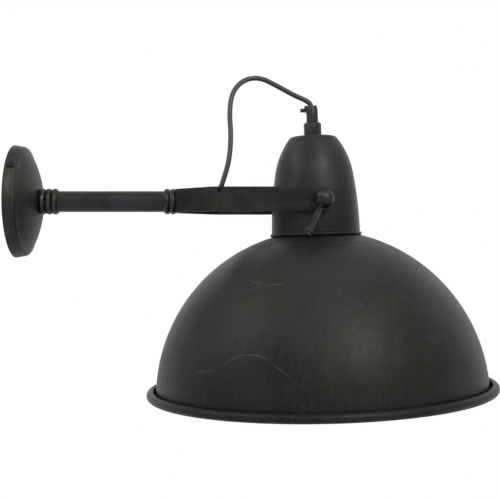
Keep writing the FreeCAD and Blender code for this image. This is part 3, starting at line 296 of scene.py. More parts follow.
def buildAgedSteel():
    # blackened, waxed steel: cloudy olive and blue-grey patches, rubbing streaks and fine pits
    group, given, result = newGroup("agedSteel", [
        ("Vector", "NodeSocketVector", None),
        ("Dark", "NodeSocketColor", (0.02, 0.02, 0.02, 1)),
        ("Olive", "NodeSocketColor", (0.03, 0.03, 0.02, 1)),
        ("Blue Grey", "NodeSocketColor", (0.04, 0.04, 0.05, 1)),
        ("Worn", "NodeSocketColor", (0.1, 0.1, 0.1, 1)),
        ("Patch Scale", "NodeSocketFloat", 9.0),
        ("Streaks", "NodeSocketFloat", 0.3),
        ("Pits", "NodeSocketFloat", 0.5),
        ("Base Roughness", "NodeSocketFloat", 0.5),
    ], [("Color", "NodeSocketColor"), ("Roughness", "NodeSocketFloat"), ("Height", "NodeSocketFloat")])
    vector = given.outputs["Vector"]
    scale = given.outputs["Patch Scale"]
    clouds = noiseAt(group, vector, scale, 4, 0.62)
    otherClouds = noiseAt(group, vector, scale, 3, 0.55, shift=(3.1, 1.7, 5.3))
    grain = noiseAt(group, vector, agedLook["grain"], 3, 0.65)
    fine = noiseAt(group, vector, agedLook["speck"], 2, 0.6)
    color = mixColor(group, stepBetween(group, clouds, 0.4, 0.62),
                     given.outputs["Dark"], given.outputs["Olive"])
    color = mixColor(group, stepBetween(group, otherClouds, 0.47, 0.68),
                     color, given.outputs["Blue Grey"])
    streak = noiseAt(group, vector, agedLook["streak"], 3, 0.6, stretch=(1, 1, 0.06))
    streakAmount = math2(group, "MULTIPLY", stepBetween(group, streak, 0.5, 0.72), given.outputs["Streaks"])
    color = mixColor(group, streakAmount, color, given.outputs["Worn"])
    rubbed = noiseAt(group, vector, agedLook["rubbed"], 4, 0.6, shift=(8.2, 0.4, 2.6))
    rubbedPlace = stepBetween(group, rubbed, 0.5, 0.7)
    speck = stepBetween(group, fine, 0.6, 0.68)
    rubbedSpeck = math2(group, "MULTIPLY", speck, rubbedPlace)
    speckAmount = math2(group, "MULTIPLY", rubbedSpeck, given.outputs["Pits"])
    color = mixColor(group, speckAmount, color, given.outputs["Worn"])
    shade = math2(group, "ADD", math2(group, "MULTIPLY", grain, 0.5), 0.75)
    color = shaded(group, color, shade)
    group.links.new(color, result.inputs["Color"])
    rough = given.outputs["Base Roughness"]
    for pattern, share in ((otherClouds, agedLook["cloudGloss"]), (grain, agedLook["grainGloss"])):
        change = math2(group, "MULTIPLY", math2(group, "SUBTRACT", pattern, 0.5), share)
        rough = math2(group, "ADD", rough, change)
    group.links.new(rough, result.inputs["Roughness"])
    dents = noiseAt(group, vector, agedLook["dent"], 2, 0.5, shift=(1.3, 4.4, 0.2))
    height = math2(group, "MULTIPLY", dents, agedLook["dentHeight"])
    for operation, pattern, share in (("ADD", grain, agedLook["grainHeight"]),
                                      ("SUBTRACT", speckAmount, agedLook["pitDepth"]),
                                      ("ADD", streak, agedLook["streakHeight"])):
        height = math2(group, operation, height, math2(group, "MULTIPLY", pattern, share))
    group.links.new(height, result.inputs["Height"])
    return group


# How a scratch wanders, ends and wears; nearSide is the Y in front of which it shows
markLook = {"wander": 60, "wanderReach": 0.004, "endRamp": 120, "nearSide": -0.02, "wear": 260}


def buildArcMark():
    # a thin scratch along a circle seen square on from the near side
    group, given, result = newGroup("arcMark", [
        ("Vector", "NodeSocketVector", None),
        ("Centre X", "NodeSocketFloat", 0.3),
        ("Centre Z", "NodeSocketFloat", -0.1),
        ("Radius", "NodeSocketFloat", 0.05),
        ("Half Width", "NodeSocketFloat", 0.0005),
        ("From X", "NodeSocketFloat", 0.2),
        ("To X", "NodeSocketFloat", 0.3),
        ("Upper Side", "NodeSocketFloat", 1.0),
    ], [("Mask", "NodeSocketFloat")])
    wobble = noiseAt(group, given.outputs["Vector"], markLook["wander"], 3, 0.6)
    apart = addNode(group, "ShaderNodeSeparateXYZ", None, None, {0: given.outputs["Vector"]})
    across = math2(group, "SUBTRACT", apart.outputs[0], given.outputs["Centre X"])
    up = math2(group, "SUBTRACT", apart.outputs[2], given.outputs["Centre Z"])
    reach = math2(group, "SQRT", math2(group, "ADD", math2(group, "MULTIPLY", across, across),
                                       math2(group, "MULTIPLY", up, up)), 0)
    astray = math2(group, "MULTIPLY", math2(group, "SUBTRACT", wobble, 0.5), markLook["wanderReach"])
    reach = math2(group, "ADD", reach, astray)
    miss = math2(group, "ABSOLUTE", math2(group, "SUBTRACT", reach, given.outputs["Radius"]), 0)
    share = math2(group, "DIVIDE", miss, given.outputs["Half Width"])
    line = stepBetween(group, share, 0.3, 1.0, 1.0, 0.0)
    past = math2(group, "SUBTRACT", apart.outputs[0], given.outputs["From X"])
    left = math2(group, "SUBTRACT", given.outputs["To X"], apart.outputs[0])
    after, before = [math2(group, "MULTIPLY", room, markLook["endRamp"], True) for room in (past, left)]
    side = math2(group, "GREATER_THAN", math2(group, "MULTIPLY", up, given.outputs["Upper Side"]), 0.0)
    near = math2(group, "LESS_THAN", apart.outputs[1], markLook["nearSide"])
    wear = noiseAt(group, given.outputs["Vector"], markLook["wear"], 2, 0.6)
    worn = stepBetween(group, wear, 0.32, 0.55, 0.25, 1.0)
    mask = line
    for factor in (after, before, side, near, worn):
        mask = math2(group, "MULTIPLY", mask, factor)
    group.links.new(mask, result.inputs["Mask"])
    return group


agedSteel = buildAgedSteel()
arcMark = buildArcMark()


def newMaterial(name, plain):
    material = bpy.data.materials.new(name)
    material.use_nodes = True
    tree = material.node_tree
    shader = tree.nodes["Principled BSDF"]
    for key, value in plain.items():
        shader.inputs[key].default_value = value
    place = addNode(tree, "ShaderNodeTexCoord").outputs["Object"]
    return material, tree, shader, place


def bumped(tree, shader, height, distance, strength=1.0):
    bump = addNode(tree, "ShaderNodeBump", None, {"Distance": distance, "Strength": strength},
                   {"Height": height})
    tree.links.new(bump.outputs[0], shader.inputs["Normal"])


steelLooks = {
    # the last entry of shade and cap steel paints shade low down and light high up: from height, to height,
    # share low, share high
    "shadeSteel": {"dark": (0.0165, 0.017, 0.0150), "olive": (0.0215, 0.0218, 0.0180),
                   "blue": (0.0245, 0.0245, 0.0275), "worn": (0.085, 0.085, 0.082),
                   "patch": 8.0, "streaks": 0.10, "pits": 0.8, "rough": 0.50,
                   "paintedShadeByHeight": (-0.165, -0.055, 0.74, 1.15)},
    "capSteel": {"dark": (0.018, 0.018, 0.019), "olive": (0.025, 0.025, 0.022),
                 "blue": (0.034, 0.033, 0.041), "worn": (0.075, 0.075, 0.078),
                 "patch": 15.0, "streaks": 0.10, "pits": 0.4, "rough": 0.46,
                 "paintedShadeByHeight": (-0.035, 0.05, 0.66, 1.22)},
    "shadeLining": {"dark": (0.02, 0.02, 0.019), "olive": (0.027, 0.027, 0.024),
                    "blue": (0.03, 0.03, 0.033), "worn": (0.06, 0.06, 0.058),
                    "patch": 10.0, "streaks": 0.05, "pits": 0.3, "rough": 0.56},
    "roseSteel": {"dark": (0.022, 0.022, 0.021), "olive": (0.033, 0.033, 0.027),
                  "blue": (0.038, 0.038, 0.043), "worn": (0.085, 0.085, 0.08),
                  "patch": 22.0, "streaks": 0.1, "pits": 0.6, "rough": 0.52},
    "barSteel": {"dark": (0.014, 0.014, 0.0145), "olive": (0.023, 0.023, 0.02),
                 "blue": (0.023, 0.023, 0.026), "worn": (0.075, 0.075, 0.075),
                 "patch": 26.0, "streaks": 0.08, "pits": 0.7, "rough": 0.47},
    "tubeSteel": {"dark": (0.017, 0.017, 0.0165), "olive": (0.025, 0.025, 0.022),
                  "blue": (0.028, 0.028, 0.033), "worn": (0.075, 0.075, 0.075),
                  "patch": 26.0, "streaks": 0.05, "pits": 0.5, "rough": 0.36},
    "dullScrew": {"dark": (0.012, 0.012, 0.012), "olive": (0.016, 0.016, 0.014),
                  "blue": (0.022, 0.022, 0.024), "worn": (0.05, 0.05, 0.05),
                  "patch": 60.0, "streaks": 0.1, "pits": 0.4, "rough": 0.5},
    "fittingSteel": {"dark": (0.02, 0.02, 0.02), "olive": (0.03, 0.03, 0.026),
                     "blue": (0.042, 0.042, 0.047), "worn": (0.13, 0.13, 0.13),
                     "patch": 60.0, "streaks": 0.2, "pits": 0.5, "rough": 0.36},
}


def steelMaterial(name, marks=()):
    look = steelLooks[name]
    material, tree, shader, place = newMaterial(name, {"Metallic": 0.8, "Specular IOR Level": 0.4})
    aged = addNode(tree, "ShaderNodeGroup", {"node_tree": agedSteel}, {
        "Dark": look["dark"] + (1,), "Olive": look["olive"] + (1,), "Blue Grey": look["blue"] + (1,),
        "Worn": look["worn"] + (1,), "Patch Scale": look["patch"], "Streaks": look["streaks"],
        "Pits": look["pits"], "Base Roughness": look["rough"]}, {"Vector": place})
    color = aged.outputs["Color"]
    height = aged.outputs["Height"]
    if "paintedShadeByHeight" in look:
        # painted shade and light: darker towards the foot, lighter towards the top
        low, high, below, above = look["paintedShadeByHeight"]
        apart = addNode(tree, "ShaderNodeSeparateXYZ", None, None, {0: place})
        color = shaded(tree, color, stepBetween(tree, apart.outputs[2], low, high, below, above))
    for mark in marks:
        scratch = addNode(tree, "ShaderNodeGroup", {"node_tree": arcMark}, {
            "Centre X": mark["x"], "Centre Z": mark["z"], "Radius": mark["radius"],
            "Half Width": mark["width"], "From X": mark["fromX"], "To X": mark["toX"],
            "Upper Side": mark["side"]}, {"Vector": place})
        strength = math2(tree, "MULTIPLY", scratch.outputs[0], mark["strength"])
        color = mixColor(tree, strength, color, look["worn"] + (1,))
        height = math2(tree, "SUBTRACT", height, math2(tree, "MULTIPLY", strength, 0.2))
    tree.links.new(color, shader.inputs["Base Color"])
    tree.links.new(aged.outputs["Roughness"], shader.inputs["Roughness"])
    bumped(tree, shader, height, 0.0006)
    return material


def grainedMaterial(name, plain, low, high, scale, stretch=(1, 1, 1), roughness=(0.3, 0.45), depth=0.0001):
    # a simple surface whose colour, gloss and height change with one grain
    material, tree, shader, place = newMaterial(name, plain)
    grain = noiseAt(tree, place, scale, 4, 0.6, stretch=stretch)
    spread = stepBetween(tree, grain, 0.3, 0.7)
    tree.links.new(mixColor(tree, spread, low + (1,), high + (1,)), shader.inputs["Base Color"])
    tree.links.new(stepBetween(tree, grain, 0.3, 0.7, roughness[0], roughness[1]), shader.inputs["Roughness"])
    bumped(tree, shader, grain, depth)
    return material


materials = {name: steelMaterial(name) for name in steelLooks if name != "shadeSteel"}
print("materials ready")

# Free lead: out of the arm, through its clamp, up and over to the grip on the head.
lead = {"diameter": 0.005, "length": 0.2644, "sides": 5}
leadRoute = [
    (0.1724, 0.0, 0.0), (0.1804, 0.0, 0.0), (0.188, -0.0036, -0.0018), (0.1932, -0.0104, -0.0042),
    (0.1963, -0.0188, -0.0062), (0.199, -0.0274, -0.0066), (0.2022, -0.0346, -0.003),
    (0.2055, -0.0387, 0.0032), (0.2092, -0.0395, 0.012), (0.2134, -0.0389, 0.025),
    (0.2173, -0.037, 0.04), (0.2189, -0.033, 0.063), (0.217, -0.0285, 0.086),
    (0.2195, -0.024, 0.107), (0.231, -0.0185, 0.1206), (0.2475, -0.013, 0.1238),
    (0.2645, -0.008, 0.1162), (0.2815, -0.0035, 0.1076), (0.2925, -0.0008, 0.1034),
    (0.29778, 0.0, 0.10026), (0.29934, 0.0, 0.0977), (0.29943, 0.0, 0.09456),
]


def makeLead():
    line = bpy.data.curves.new("leadLine", "CURVE")
    line.dimensions = "3D"
    spline = line.splines.new("NURBS")
    spline.points.add(len(leadRoute) - 1)
    for point, place in zip(spline.points, leadRoute):
        point.co = place + (1.0,)
    spline.order_u = 3
    spline.use_endpoint_u = True
    spline.resolution_u = 12
    line.resolution_u = 12
    piece = bpy.data.objects.new("freeLead", line)
    bpy.context.collection.objects.link(piece)
    bpy.context.view_layer.update()
    centre = bpy.data.meshes.new_from_object(piece)
    line.bevel_depth = lead["diameter"] / 2
    line.bevel_resolution = lead["sides"]
    line.use_fill_caps = True
    pickOnly(piece)
    bpy.ops.object.convert(target="MESH")
    piece = bpy.context.object
    bpy.ops.object.shade_smooth_by_angle(angle=math.radians(50))
    piece.data.materials.clear()
    piece.data.materials.append(materials["leadSheath"])
    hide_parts("head_lead")
    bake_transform(piece)
    return piece


materials["leadSheath"] = grainedMaterial(
    "leadSheath", {"Metallic": 0.0, "Specular IOR Level": 0.5}, (0.008, 0.008, 0.008), (0.018, 0.018, 0.016),
    240, roughness=(0.30, 0.44), depth=0.00008)
makeLead()

# Level camera in front of the arm
view = {"place": (0.2374, -0.935, -0.04919), "lens": 66.24, "sensor": 36, "nearest": 0.02}


def makeCamera():
    camera = bpy.data.objects.new("camera", bpy.data.cameras.new("camera"))
    bpy.context.collection.objects.link(camera)
    camera.location = view["place"]
    camera.rotation_euler = (math.radians(90), 0, 0)
    camera.data.lens = view["lens"]
    camera.data.sensor_width = view["sensor"]
    camera.data.clip_start = view["nearest"]
    bpy.context.scene.camera = camera


makeCamera()
print("lead and camera ready")

# Dome shade, its seam low under the cap and its edge rolled round a hollow
dome = {"radius": 166.7, "centre": -195.6, "wall": 1.2, "flange": -35.0, "throat": 34.5,
        "rimZ": -188.9, "rimReach": 176.1, "bead": 4.5, "curlEnd": 118.0, "creaseRadius": 70.0,
        "creaseDepth": 0.3, "creaseHalf": 1.1, "around": 192}

# Marks on the near side of the dome: circles in the X-Z plane, in metres
domeMarks = [
    {"x": 0.2386, "z": -0.1755, "radius": 0.0356, "width": 0.0007, "fromX": 0.213, "toX": 0.256,
     "side": 1.0, "strength": 0.4},
    {"x": 0.2337, "z": -0.1940, "radius": 0.0525, "width": 0.0006, "fromX": 0.252, "toX": 0.275,
     "side": 1.0, "strength": 0.4},
    {"x": 0.2029, "z": -0.1817, "radius": 0.0253, "width": 0.0012, "fromX": 0.186, "toX": 0.211,
     "side": 1.0, "strength": 0.3},
    {"x": 0.2587, "z": -0.0101, "radius": 0.0704, "width": 0.0009, "fromX": 0.234, "toX": 0.272,
     "side": -1.0, "strength": 0.4},
    {"x": 0.2510, "z": -0.0487, "radius": 0.0389, "width": 0.0011, "fromX": 0.235, "toX": 0.246,
     "side": -1.0, "strength": 0.4},
]


def domeReach(sphere, z):
    return math.sqrt(sphere * sphere - (z - dome["centre"]) ** 2)


def domeHeight(sphere, radius):
    return dome["centre"] + math.sqrt(sphere * sphere - radius * radius)


def makeShade():
    outer = dome["radius"]
    inner = outer - dome["wall"]
    joint = dome["flange"]
    rimZ = dome["rimZ"]
    bead = dome["bead"]
    hollow = bead - dome["wall"]
    low = rimZ - bead
    middle = dome["rimReach"] - bead
    end = math.radians(dome["curlEnd"])
    crease = dome["creaseRadius"]
    half = dome["creaseHalf"]
    shade = turnedPiece("shadeDome", [
        (dome["throat"], joint),
        (dome["throat"], joint - dome["wall"]),
        (domeReach(inner, joint - dome["wall"]), joint - dome["wall"], -inner),
        (domeReach(inner, low), low),
        (middle, low, bead),
        (middle + bead, rimZ, bead),
        (middle, rimZ + bead, bead),
        (middle + bead * math.cos(end), rimZ + bead * math.sin(end)),
        (middle + hollow * math.cos(end), rimZ + hollow * math.sin(end), -hollow),
        (middle, rimZ + hollow, -hollow),
        (middle + hollow, rimZ, -hollow),
        (middle, rimZ - hollow),
        (domeReach(outer, rimZ - hollow), rimZ - hollow, outer),
        (crease + half, domeHeight(outer, crease + half)),
        (crease, domeHeight(outer, crease) - dome["creaseDepth"]),
        (crease - half, domeHeight(outer, crease - half), outer),
        (domeReach(outer, joint), joint),
    ], dome["around"], stepAngle=18)
    settle(shade, headPlace())
    materials["shadeSteel"] = steelMaterial("shadeSteel", domeMarks)
    shade.data.materials.append(materials["shadeSteel"])
    shade.data.materials.append(materials["shadeLining"])
    centre = headPlace() @ Vector((0, 0, dome["centre"] * millimetre))
    split = (outer - dome["wall"] / 2) * millimetre
    for face in shade.data.polygons:
        if (face.center - centre).length < split:
            face.material_index = 1
    return finished(shade, "head", "blackened_shade", None, "shade")


makeShade()
print("shade ready")

# Spun cap: crown, swelling side, and a rolled lip where it meets the shade
cap = {"wall": 1.2, "crown": 21.2, "top": 65.7, "shoulder": (25.0, 63.1), "waist": (40.0, 25.0),
       "foot": (44.6, -29.0), "bottom": -35.0, "lip": 46.4, "bead": 1.7, "lipStep": (0.5, 0.4),
       "crownBend": 4.6, "neckBend": 80, "sideBend": 378, "bore": 5.0, "throat": 34.5, "around": 144}


def makeCap():
    wall = cap["wall"]
    shoulder, shoulderZ = cap["shoulder"]
    waist, waistZ = cap["waist"]
    foot, footZ = cap["foot"]
    bottom = cap["bottom"]
    bead = cap["bead"]
    stepOut, stepUp = cap["lipStep"]
    crownBend, neckBend, sideBend = cap["crownBend"], cap["neckBend"], cap["sideBend"]
    piece = turnedPiece("spunCap", [
        (cap["bore"], cap["top"]),
        (cap["bore"], cap["top"] - wall),
        (cap["crown"], cap["top"] - wall, wall - crownBend),
        (shoulder - wall, shoulderZ - wall / 2, wall - neckBend),
        (waist - wall, waistZ, wall - sideBend),
        (foot - wall, footZ),
        (foot - wall, bottom + wall),
        (cap["throat"], bottom + wall),
        (cap["throat"], bottom),
        (cap["lip"] - bead, bottom, bead),
        (cap["lip"], bottom + bead, bead),
        (foot + stepOut, bottom + bead * 2),
        (foot, bottom + bead * 2 + stepUp),
        (foot, footZ, sideBend),
        (waist, waistZ, neckBend),
        (shoulder, shoulderZ, crownBend),
        (cap["crown"], cap["top"]),
    ], cap["around"], stepLength=4)
    settle(piece, headPlace())
    return finished(piece, "head", "blackened_shade", materials["capSteel"], "head_cap")


makeCap()

# Top of the head: coupler, cord grip with its clamping block and slotted screw
topFittings = {"edge": 0.35, "screwEdge": 0.15, "screwSlot": (4.4, 0.7, 0.8)}


def makeTopFittings():
    for node, name in (("top_coupler", "coupler"), ("cord_grip", "cordGrip")):
        piece = softenedCopy(node, name, topFittings["edge"], 3)
        finished(piece, "head", "blackened_fittings", materials["fittingSteel"], node)
    screw = softenedCopy("cord_grip_screw", "gripScrew", topFittings["screwEdge"])
    low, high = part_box("cord_grip_screw")
    face = Matrix.Translation((low[0], (low[1] + high[1]) / 2, (low[2] + high[2]) / 2))
    cutSlot(screw, face @ Matrix.Rotation(math.radians(-90), 4, "Y"), *topFittings["screwSlot"])
    finished(screw, "head", "blackened_fittings", materials["fittingSteel"], "cord_grip_screw")


makeTopFittings()
print("cap and top fittings ready")

# Arm: rose with a fine line where its side band ends, its side screws, beaded collars and the forked bar
rose = {"back": 57.0, "front": 55.7, "band": 8.1, "corner": 4.1, "dome": 105.0, "depth": 24.3,
        "flat": 16.5, "wall": 1.5, "bore": 10.65, "lineStart": 0.9, "lineBack": 0.5,
        "lineDepth": 0.35, "lineStep": 0.1, "around": 144}
collars = {"bore": 10.65, "valley": 11.6, "bead": 3.8,
           "rose_collar": (24.3, 6.2, 3), "yoke_collar": (150.4, 6.0, 2)}
fork = {"edge": 0.55, "clampEdge": 0.3, "clampScrewEdge": 0.12}
sideScrews = {"angle": 53.0, "depth": 5.5, "reach": 58.2, "edge": 0.12, "slot": (8, 0.9, 0.5), "turn": 28.0}


def makeRose():
    wall = rose["wall"]
    front = rose["front"]
    corner = rose["corner"]
    band = rose["band"]
    depth = rose["depth"]
    piece = turnedPiece("rosePlate", [
        (rose["back"], 0),
        (front, band - rose["lineStart"]),
        (front - rose["lineDepth"], band - rose["lineBack"]),
        (front - rose["lineStep"], band, corner),
        (front - corner, band + corner, rose["dome"]),
        (rose["flat"], depth),
        (rose["bore"], depth),
        (rose["bore"], depth - wall),
        (rose["flat"], depth - wall, wall - rose["dome"]),
        (front - corner, band + corner - wall, wall - corner),
        (front - wall, band),
        (rose["back"] - wall, 0),
    ], rose["around"])
    settle(piece, alongArm(0))
    return finished(piece, "arm", "blackened_iron", materials["roseSteel"], "wall_rose")


def makeSideScrews():
    piece = softenedCopy("rose_screws", "sideScrews", sideScrews["edge"])
    face = Matrix.Translation((sideScrews["depth"] * millimetre, 0, sideScrews["reach"] * millimetre))
    turned = Matrix.Rotation(math.radians(sideScrews["turn"]), 4, "Z")
    for side in (0, 180):
        around = Matrix.Rotation(math.radians(sideScrews["angle"] + side), 4, "X")
        cutSlot(piece, around @ face @ turned, *sideScrews["slot"])
    return finished(piece, "arm", "blackened_fittings", materials["dullScrew"], "rose_screws")


def makeCollar(node, name):
    start, length, beads = collars[node]
    corners = [(collars["bore"], 0)]
    for number in range(beads):
        corners.append((collars["valley"], length * number, collars["bead"]))
    corners += [(collars["valley"], length * beads), (collars["bore"], length * beads)]
    # the outline runs up the outside, so each bead is an arc that turns left
    piece = turnedPiece(name, corners, 96, stepAngle=10)
    settle(piece, alongArm(start * millimetre))
    return finished(piece, "arm", "blackened_fittings", materials["fittingSteel"], node)


def makeArm():
    makeRose()
    makeSideScrews()
    makeCollar("rose_collar", "roseCollar")
    makeCollar("yoke_collar", "yokeCollar")
    bar = softenedCopy("yoke", "forkedBar", fork["edge"], 3, 30)
    finished(bar, "arm", "blackened_iron", materials["barSteel"], "yoke")
    clamp = softenedCopy("lead_clamp", "leadClamp", fork["clampEdge"])
    finished(clamp, "arm", "blackened_fittings", materials["fittingSteel"], "lead_clamp")
    ring = softenedCopy("lead_clamp_screw", "clampScrew", fork["clampScrewEdge"])
    finished(ring, "arm", "blackened_fittings", materials["dullScrew"], "lead_clamp_screw")


makeArm()
print("arm ready")

# Clamp lever: ball hub and turned handle with a ring near its end; the far side has a plain bolt
lever = {"hub": 9.2, "bore": 3.0, "seat": 7.15, "foot": 6.0, "crown": 0.93, "crownBend": 1.6,
         "crownFlat": 1.2, "crownDot": 0.4, "hubY": -57.0, "swing": 27.5, "lean": -30.0,
         "farBoltEdge": 0.3}
handle = {"neck": 2.1, "top": (2.9, 12.5), "topBend": 1.4, "end": 3.6, "tip": 47.5, "tipBend": 0.9,
          "tipDot": 0.15, "tipRise": 1.2, "ring": (3.9, 39.5, 43.5), "ringEdge": 0.5, "ringBend": 2.4,
          "lowGroove": (0.45, 0.25), "topGroove": (0.35, 0.3, 0.8)}


def makeLeverHub():
    radius = lever["hub"]
    seat = lever["seat"]
    foot = lever["foot"]
    crown = radius * lever["crown"]
    return turnedPiece("leverHub", [
        (lever["bore"], -seat),
        (math.sqrt(radius * radius - seat * seat), -seat, radius),
        (radius, 0, radius),
        (foot, math.sqrt(radius * radius - foot * foot), radius * lever["crownBend"]),
        (lever["crownFlat"], crown),
        (lever["crownDot"], crown),
    ], 72, closed=False, stepAngle=6)


def makeLeverHandle():
    end = handle["end"]
    tip = handle["tip"]
    topRadius, topZ = handle["top"]
    ringRadius, ringTop, ringEnd = handle["ring"]
    edge = handle["ringEdge"]
    lowDepth, lowWidth = handle["lowGroove"]
    topDepth, topWidth, topSlope = handle["topGroove"]
    return turnedPiece("leverHandle", [
        (end / 6, -tip - handle["tipDot"]),
        (end / 2, -tip, end * handle["tipBend"]),
        (end, handle["tipRise"] - tip),
        (end, -ringEnd - edge),
        (end - lowDepth, -ringEnd - lowWidth),
        (end - lowDepth, -ringEnd),
        (ringRadius, edge - ringEnd, handle["ringBend"]),
        (ringRadius, -ringTop - edge),
        (end - topDepth, -ringTop),
        (end - topDepth, topWidth - ringTop),
        (end, topSlope - ringTop),
        (topRadius, -topZ, topRadius * handle["topBend"]),
        (handle["neck"], topRadius / 2 - topZ),
        (handle["neck"], -lever["hub"] / 2),
    ], 48, closed=False, stepAngle=9)


def makeLever():
    centre = Matrix.Translation((headRest["pivotX"], lever["hubY"] * millimetre, 0))
    hub = settle(makeLeverHub(), centre @ Matrix.Rotation(math.radians(90), 4, "X"))
    turn = Matrix.Rotation(math.radians(lever["swing"]), 4, "Y")
    lean = Matrix.Rotation(math.radians(lever["lean"]), 4, "X")
    grip = settle(makeLeverHandle(), centre @ turn @ lean)
    piece = joined("clampLever", hub, grip)
    return finished(piece, "lever", "blackened_fittings", materials["leverSteel"], "clamp_lever")


steelLooks["leverSteel"] = dict(steelLooks["fittingSteel"], dark=(0.013, 0.013, 0.013),
                                olive=(0.02, 0.02, 0.018), rough=0.42, patch=90.0, streaks=0.1)
materials["leverSteel"] = steelMaterial("leverSteel")
makeLever()
farBolt = softenedCopy("far_pivot_bolt", "farBolt", lever["farBoltEdge"])
finished(farBolt, "head", "blackened_fittings", materials["fittingSteel"], "far_pivot_bolt")
print("lever ready")

# Lampholder and bulb
holder = {"radius": 20.0, "bore": 14.1, "bottom": 4.0, "joint": 38.0, "top": 58.0, "neck": 9.5,
          "lipEdge": (1.25, 2.5), "lipBend": 1.6, "grooveFoot": 9, "grooveTop": 6.8, "groove": 0.6,
          "seam": 0.4, "bellRise": 2.5, "bellBend": 1.6, "neckEdge": 0.8, "entry": 5.0,
          "nutRoom": (8.25, 5), "bellWall": 2.5}
bulbCap = {"radius": 12.4, "bottom": 5.0, "top": 30.4, "tip": 4.5, "wall": 0.6, "sideWall": 0.5,
           "shoulder": (1.4, 2.25), "shoulderBend": 3.2, "innerShoulder": (1.8, 2.4),
           "threadRadius": 0.85, "threadReach": 12.2, "threadStart": 8.4, "pitch": 3.63, "turns": 5}
filaments = {"circle": 8.0, "top": -23.8, "bottom": -57.8, "stem": 1.6, "stemEnd": -21.5, "spread": 1.6,
             "droop": 0.2, "reach": 0.3, "below": 1.4, "apart": 0.6, "wire": 0.5}


def makeHolder():
    outer = holder["radius"]
    joint = holder["joint"]
    groove = holder["groove"]
    seam = holder["seam"]
    lipIn, lipUp = holder["lipEdge"]
    skirt = turnedPiece("holderSkirt", [
        (holder["bore"], holder["bottom"]),
        (outer - lipIn, holder["bottom"], holder["lipBend"]),
        (outer, holder["bottom"] + lipUp),
        (outer, joint - holder["grooveFoot"]),
        (outer - groove, joint - holder["grooveFoot"] + groove),
        (outer - groove, joint - holder["grooveTop"] - groove),
        (outer, joint - holder["grooveTop"]),
        (outer, joint - seam),
        (outer - seam, joint),
        (holder["bore"], joint),
    ], 96)
    settle(skirt, headPlace())
    finished(skirt, "head", "black_bakelite", materials["bakelite"], "holder_skirt")
    nutRadius, nutDepth = holder["nutRoom"]
    top = holder["top"]
    bell = turnedPiece("holderBell", [
        (holder["entry"], top),
        (holder["entry"], top - nutDepth),
        (nutRadius, top - nutDepth),
        (outer - holder["bellWall"], joint),
        (outer - seam, joint),
        (outer, joint + seam),
        (outer, joint + holder["bellRise"], outer * holder["bellBend"]),
        (holder["neck"], top - holder["neckEdge"]),
        (holder["neck"] - holder["neckEdge"], top),
    ], 96)
    settle(bell, headPlace())
    finished(bell, "head", "black_bakelite", materials["bakelite"], "holder_bell")


def makeBulbCap():
    radius = bulbCap["radius"]
    top = bulbCap["top"]
    bottom = bulbCap["bottom"]
    shoulderIn, shoulderDown = bulbCap["shoulder"]
    innerIn, innerDown = bulbCap["innerShoulder"]
    shell = turnedPiece("capShell", [
        (radius, bottom),
        (radius, top - shoulderDown, bulbCap["shoulderBend"]),
        (radius - shoulderIn, top),
        (bulbCap["tip"], top),
        (bulbCap["tip"], top - bulbCap["wall"]),
        (radius - innerIn, top - bulbCap["wall"]),
        (radius - bulbCap["sideWall"], top - innerDown),
        (radius - bulbCap["sideWall"], bottom),
    ], 96)
    pickOnly()
    bpy.ops.mesh.primitive_circle_add(vertices=10, radius=bulbCap["threadRadius"] * millimetre,
                                      location=(bulbCap["threadReach"] * millimetre, 0,
                                                bulbCap["threadStart"] * millimetre),
                                      rotation=(math.radians(90), 0, 0))
    thread = bpy.context.object
    bpy.ops.object.transform_apply(location=True, rotation=True)
    winding = thread.modifiers.new("winding", "SCREW")
    winding.axis = "Z"
    winding.screw_offset = bulbCap["pitch"] * millimetre
    winding.iterations = bulbCap["turns"]
    winding.steps = 48
    winding.render_steps = 48
    bpy.ops.object.modifier_apply(modifier=winding.name)
    bpy.ops.object.mode_set(mode="EDIT")
    bpy.ops.mesh.select_all(action="SELECT")
    bpy.ops.mesh.fill_holes(sides=0)
    bpy.ops.mesh.select_all(action="SELECT")
    bpy.ops.mesh.normals_make_consistent(inside=False)
    bpy.ops.object.mode_set(mode="OBJECT")
    bpy.ops.object.shade_smooth_by_angle(angle=math.radians(50))
    piece = joined("bulbCapThread", shell, thread)
    settle(piece, headPlace())
    return finished(piece, "bulb", "aluminium", materials["aluminium"], "bulb_cap")


def makeFilamentWires():
    runs = []
    for number in range(4):
        angle = math.radians(45 + 90 * number)
        across = Vector((math.cos(angle), math.sin(angle)))
        start = across * filaments["stem"]
        spot = across * filaments["circle"]
        runs.append([(start.x, start.y, filaments["stemEnd"]),
                     (start.x * filaments["spread"], start.y * filaments["spread"], filaments["top"]),
                     (spot.x, spot.y, filaments["top"] - filaments["droop"])])
    for number in range(2):
        angle = math.radians(45 + 90 * number)
        spot = Vector((math.cos(angle), math.sin(angle))) * filaments["circle"]
        high = filaments["bottom"] + filaments["reach"]
        low = filaments["bottom"] - filaments["below"] - number * filaments["apart"]
        runs.append([(spot.x, spot.y, high), (spot.x, spot.y, low),
                     (-spot.x, -spot.y, low), (-spot.x, -spot.y, high)])
    piece = wirePiece("filamentWires", runs, filaments["wire"])
    settle(piece, headPlace())
    return finished(piece, "bulb", "zinc_steel", materials["zincSteel"])


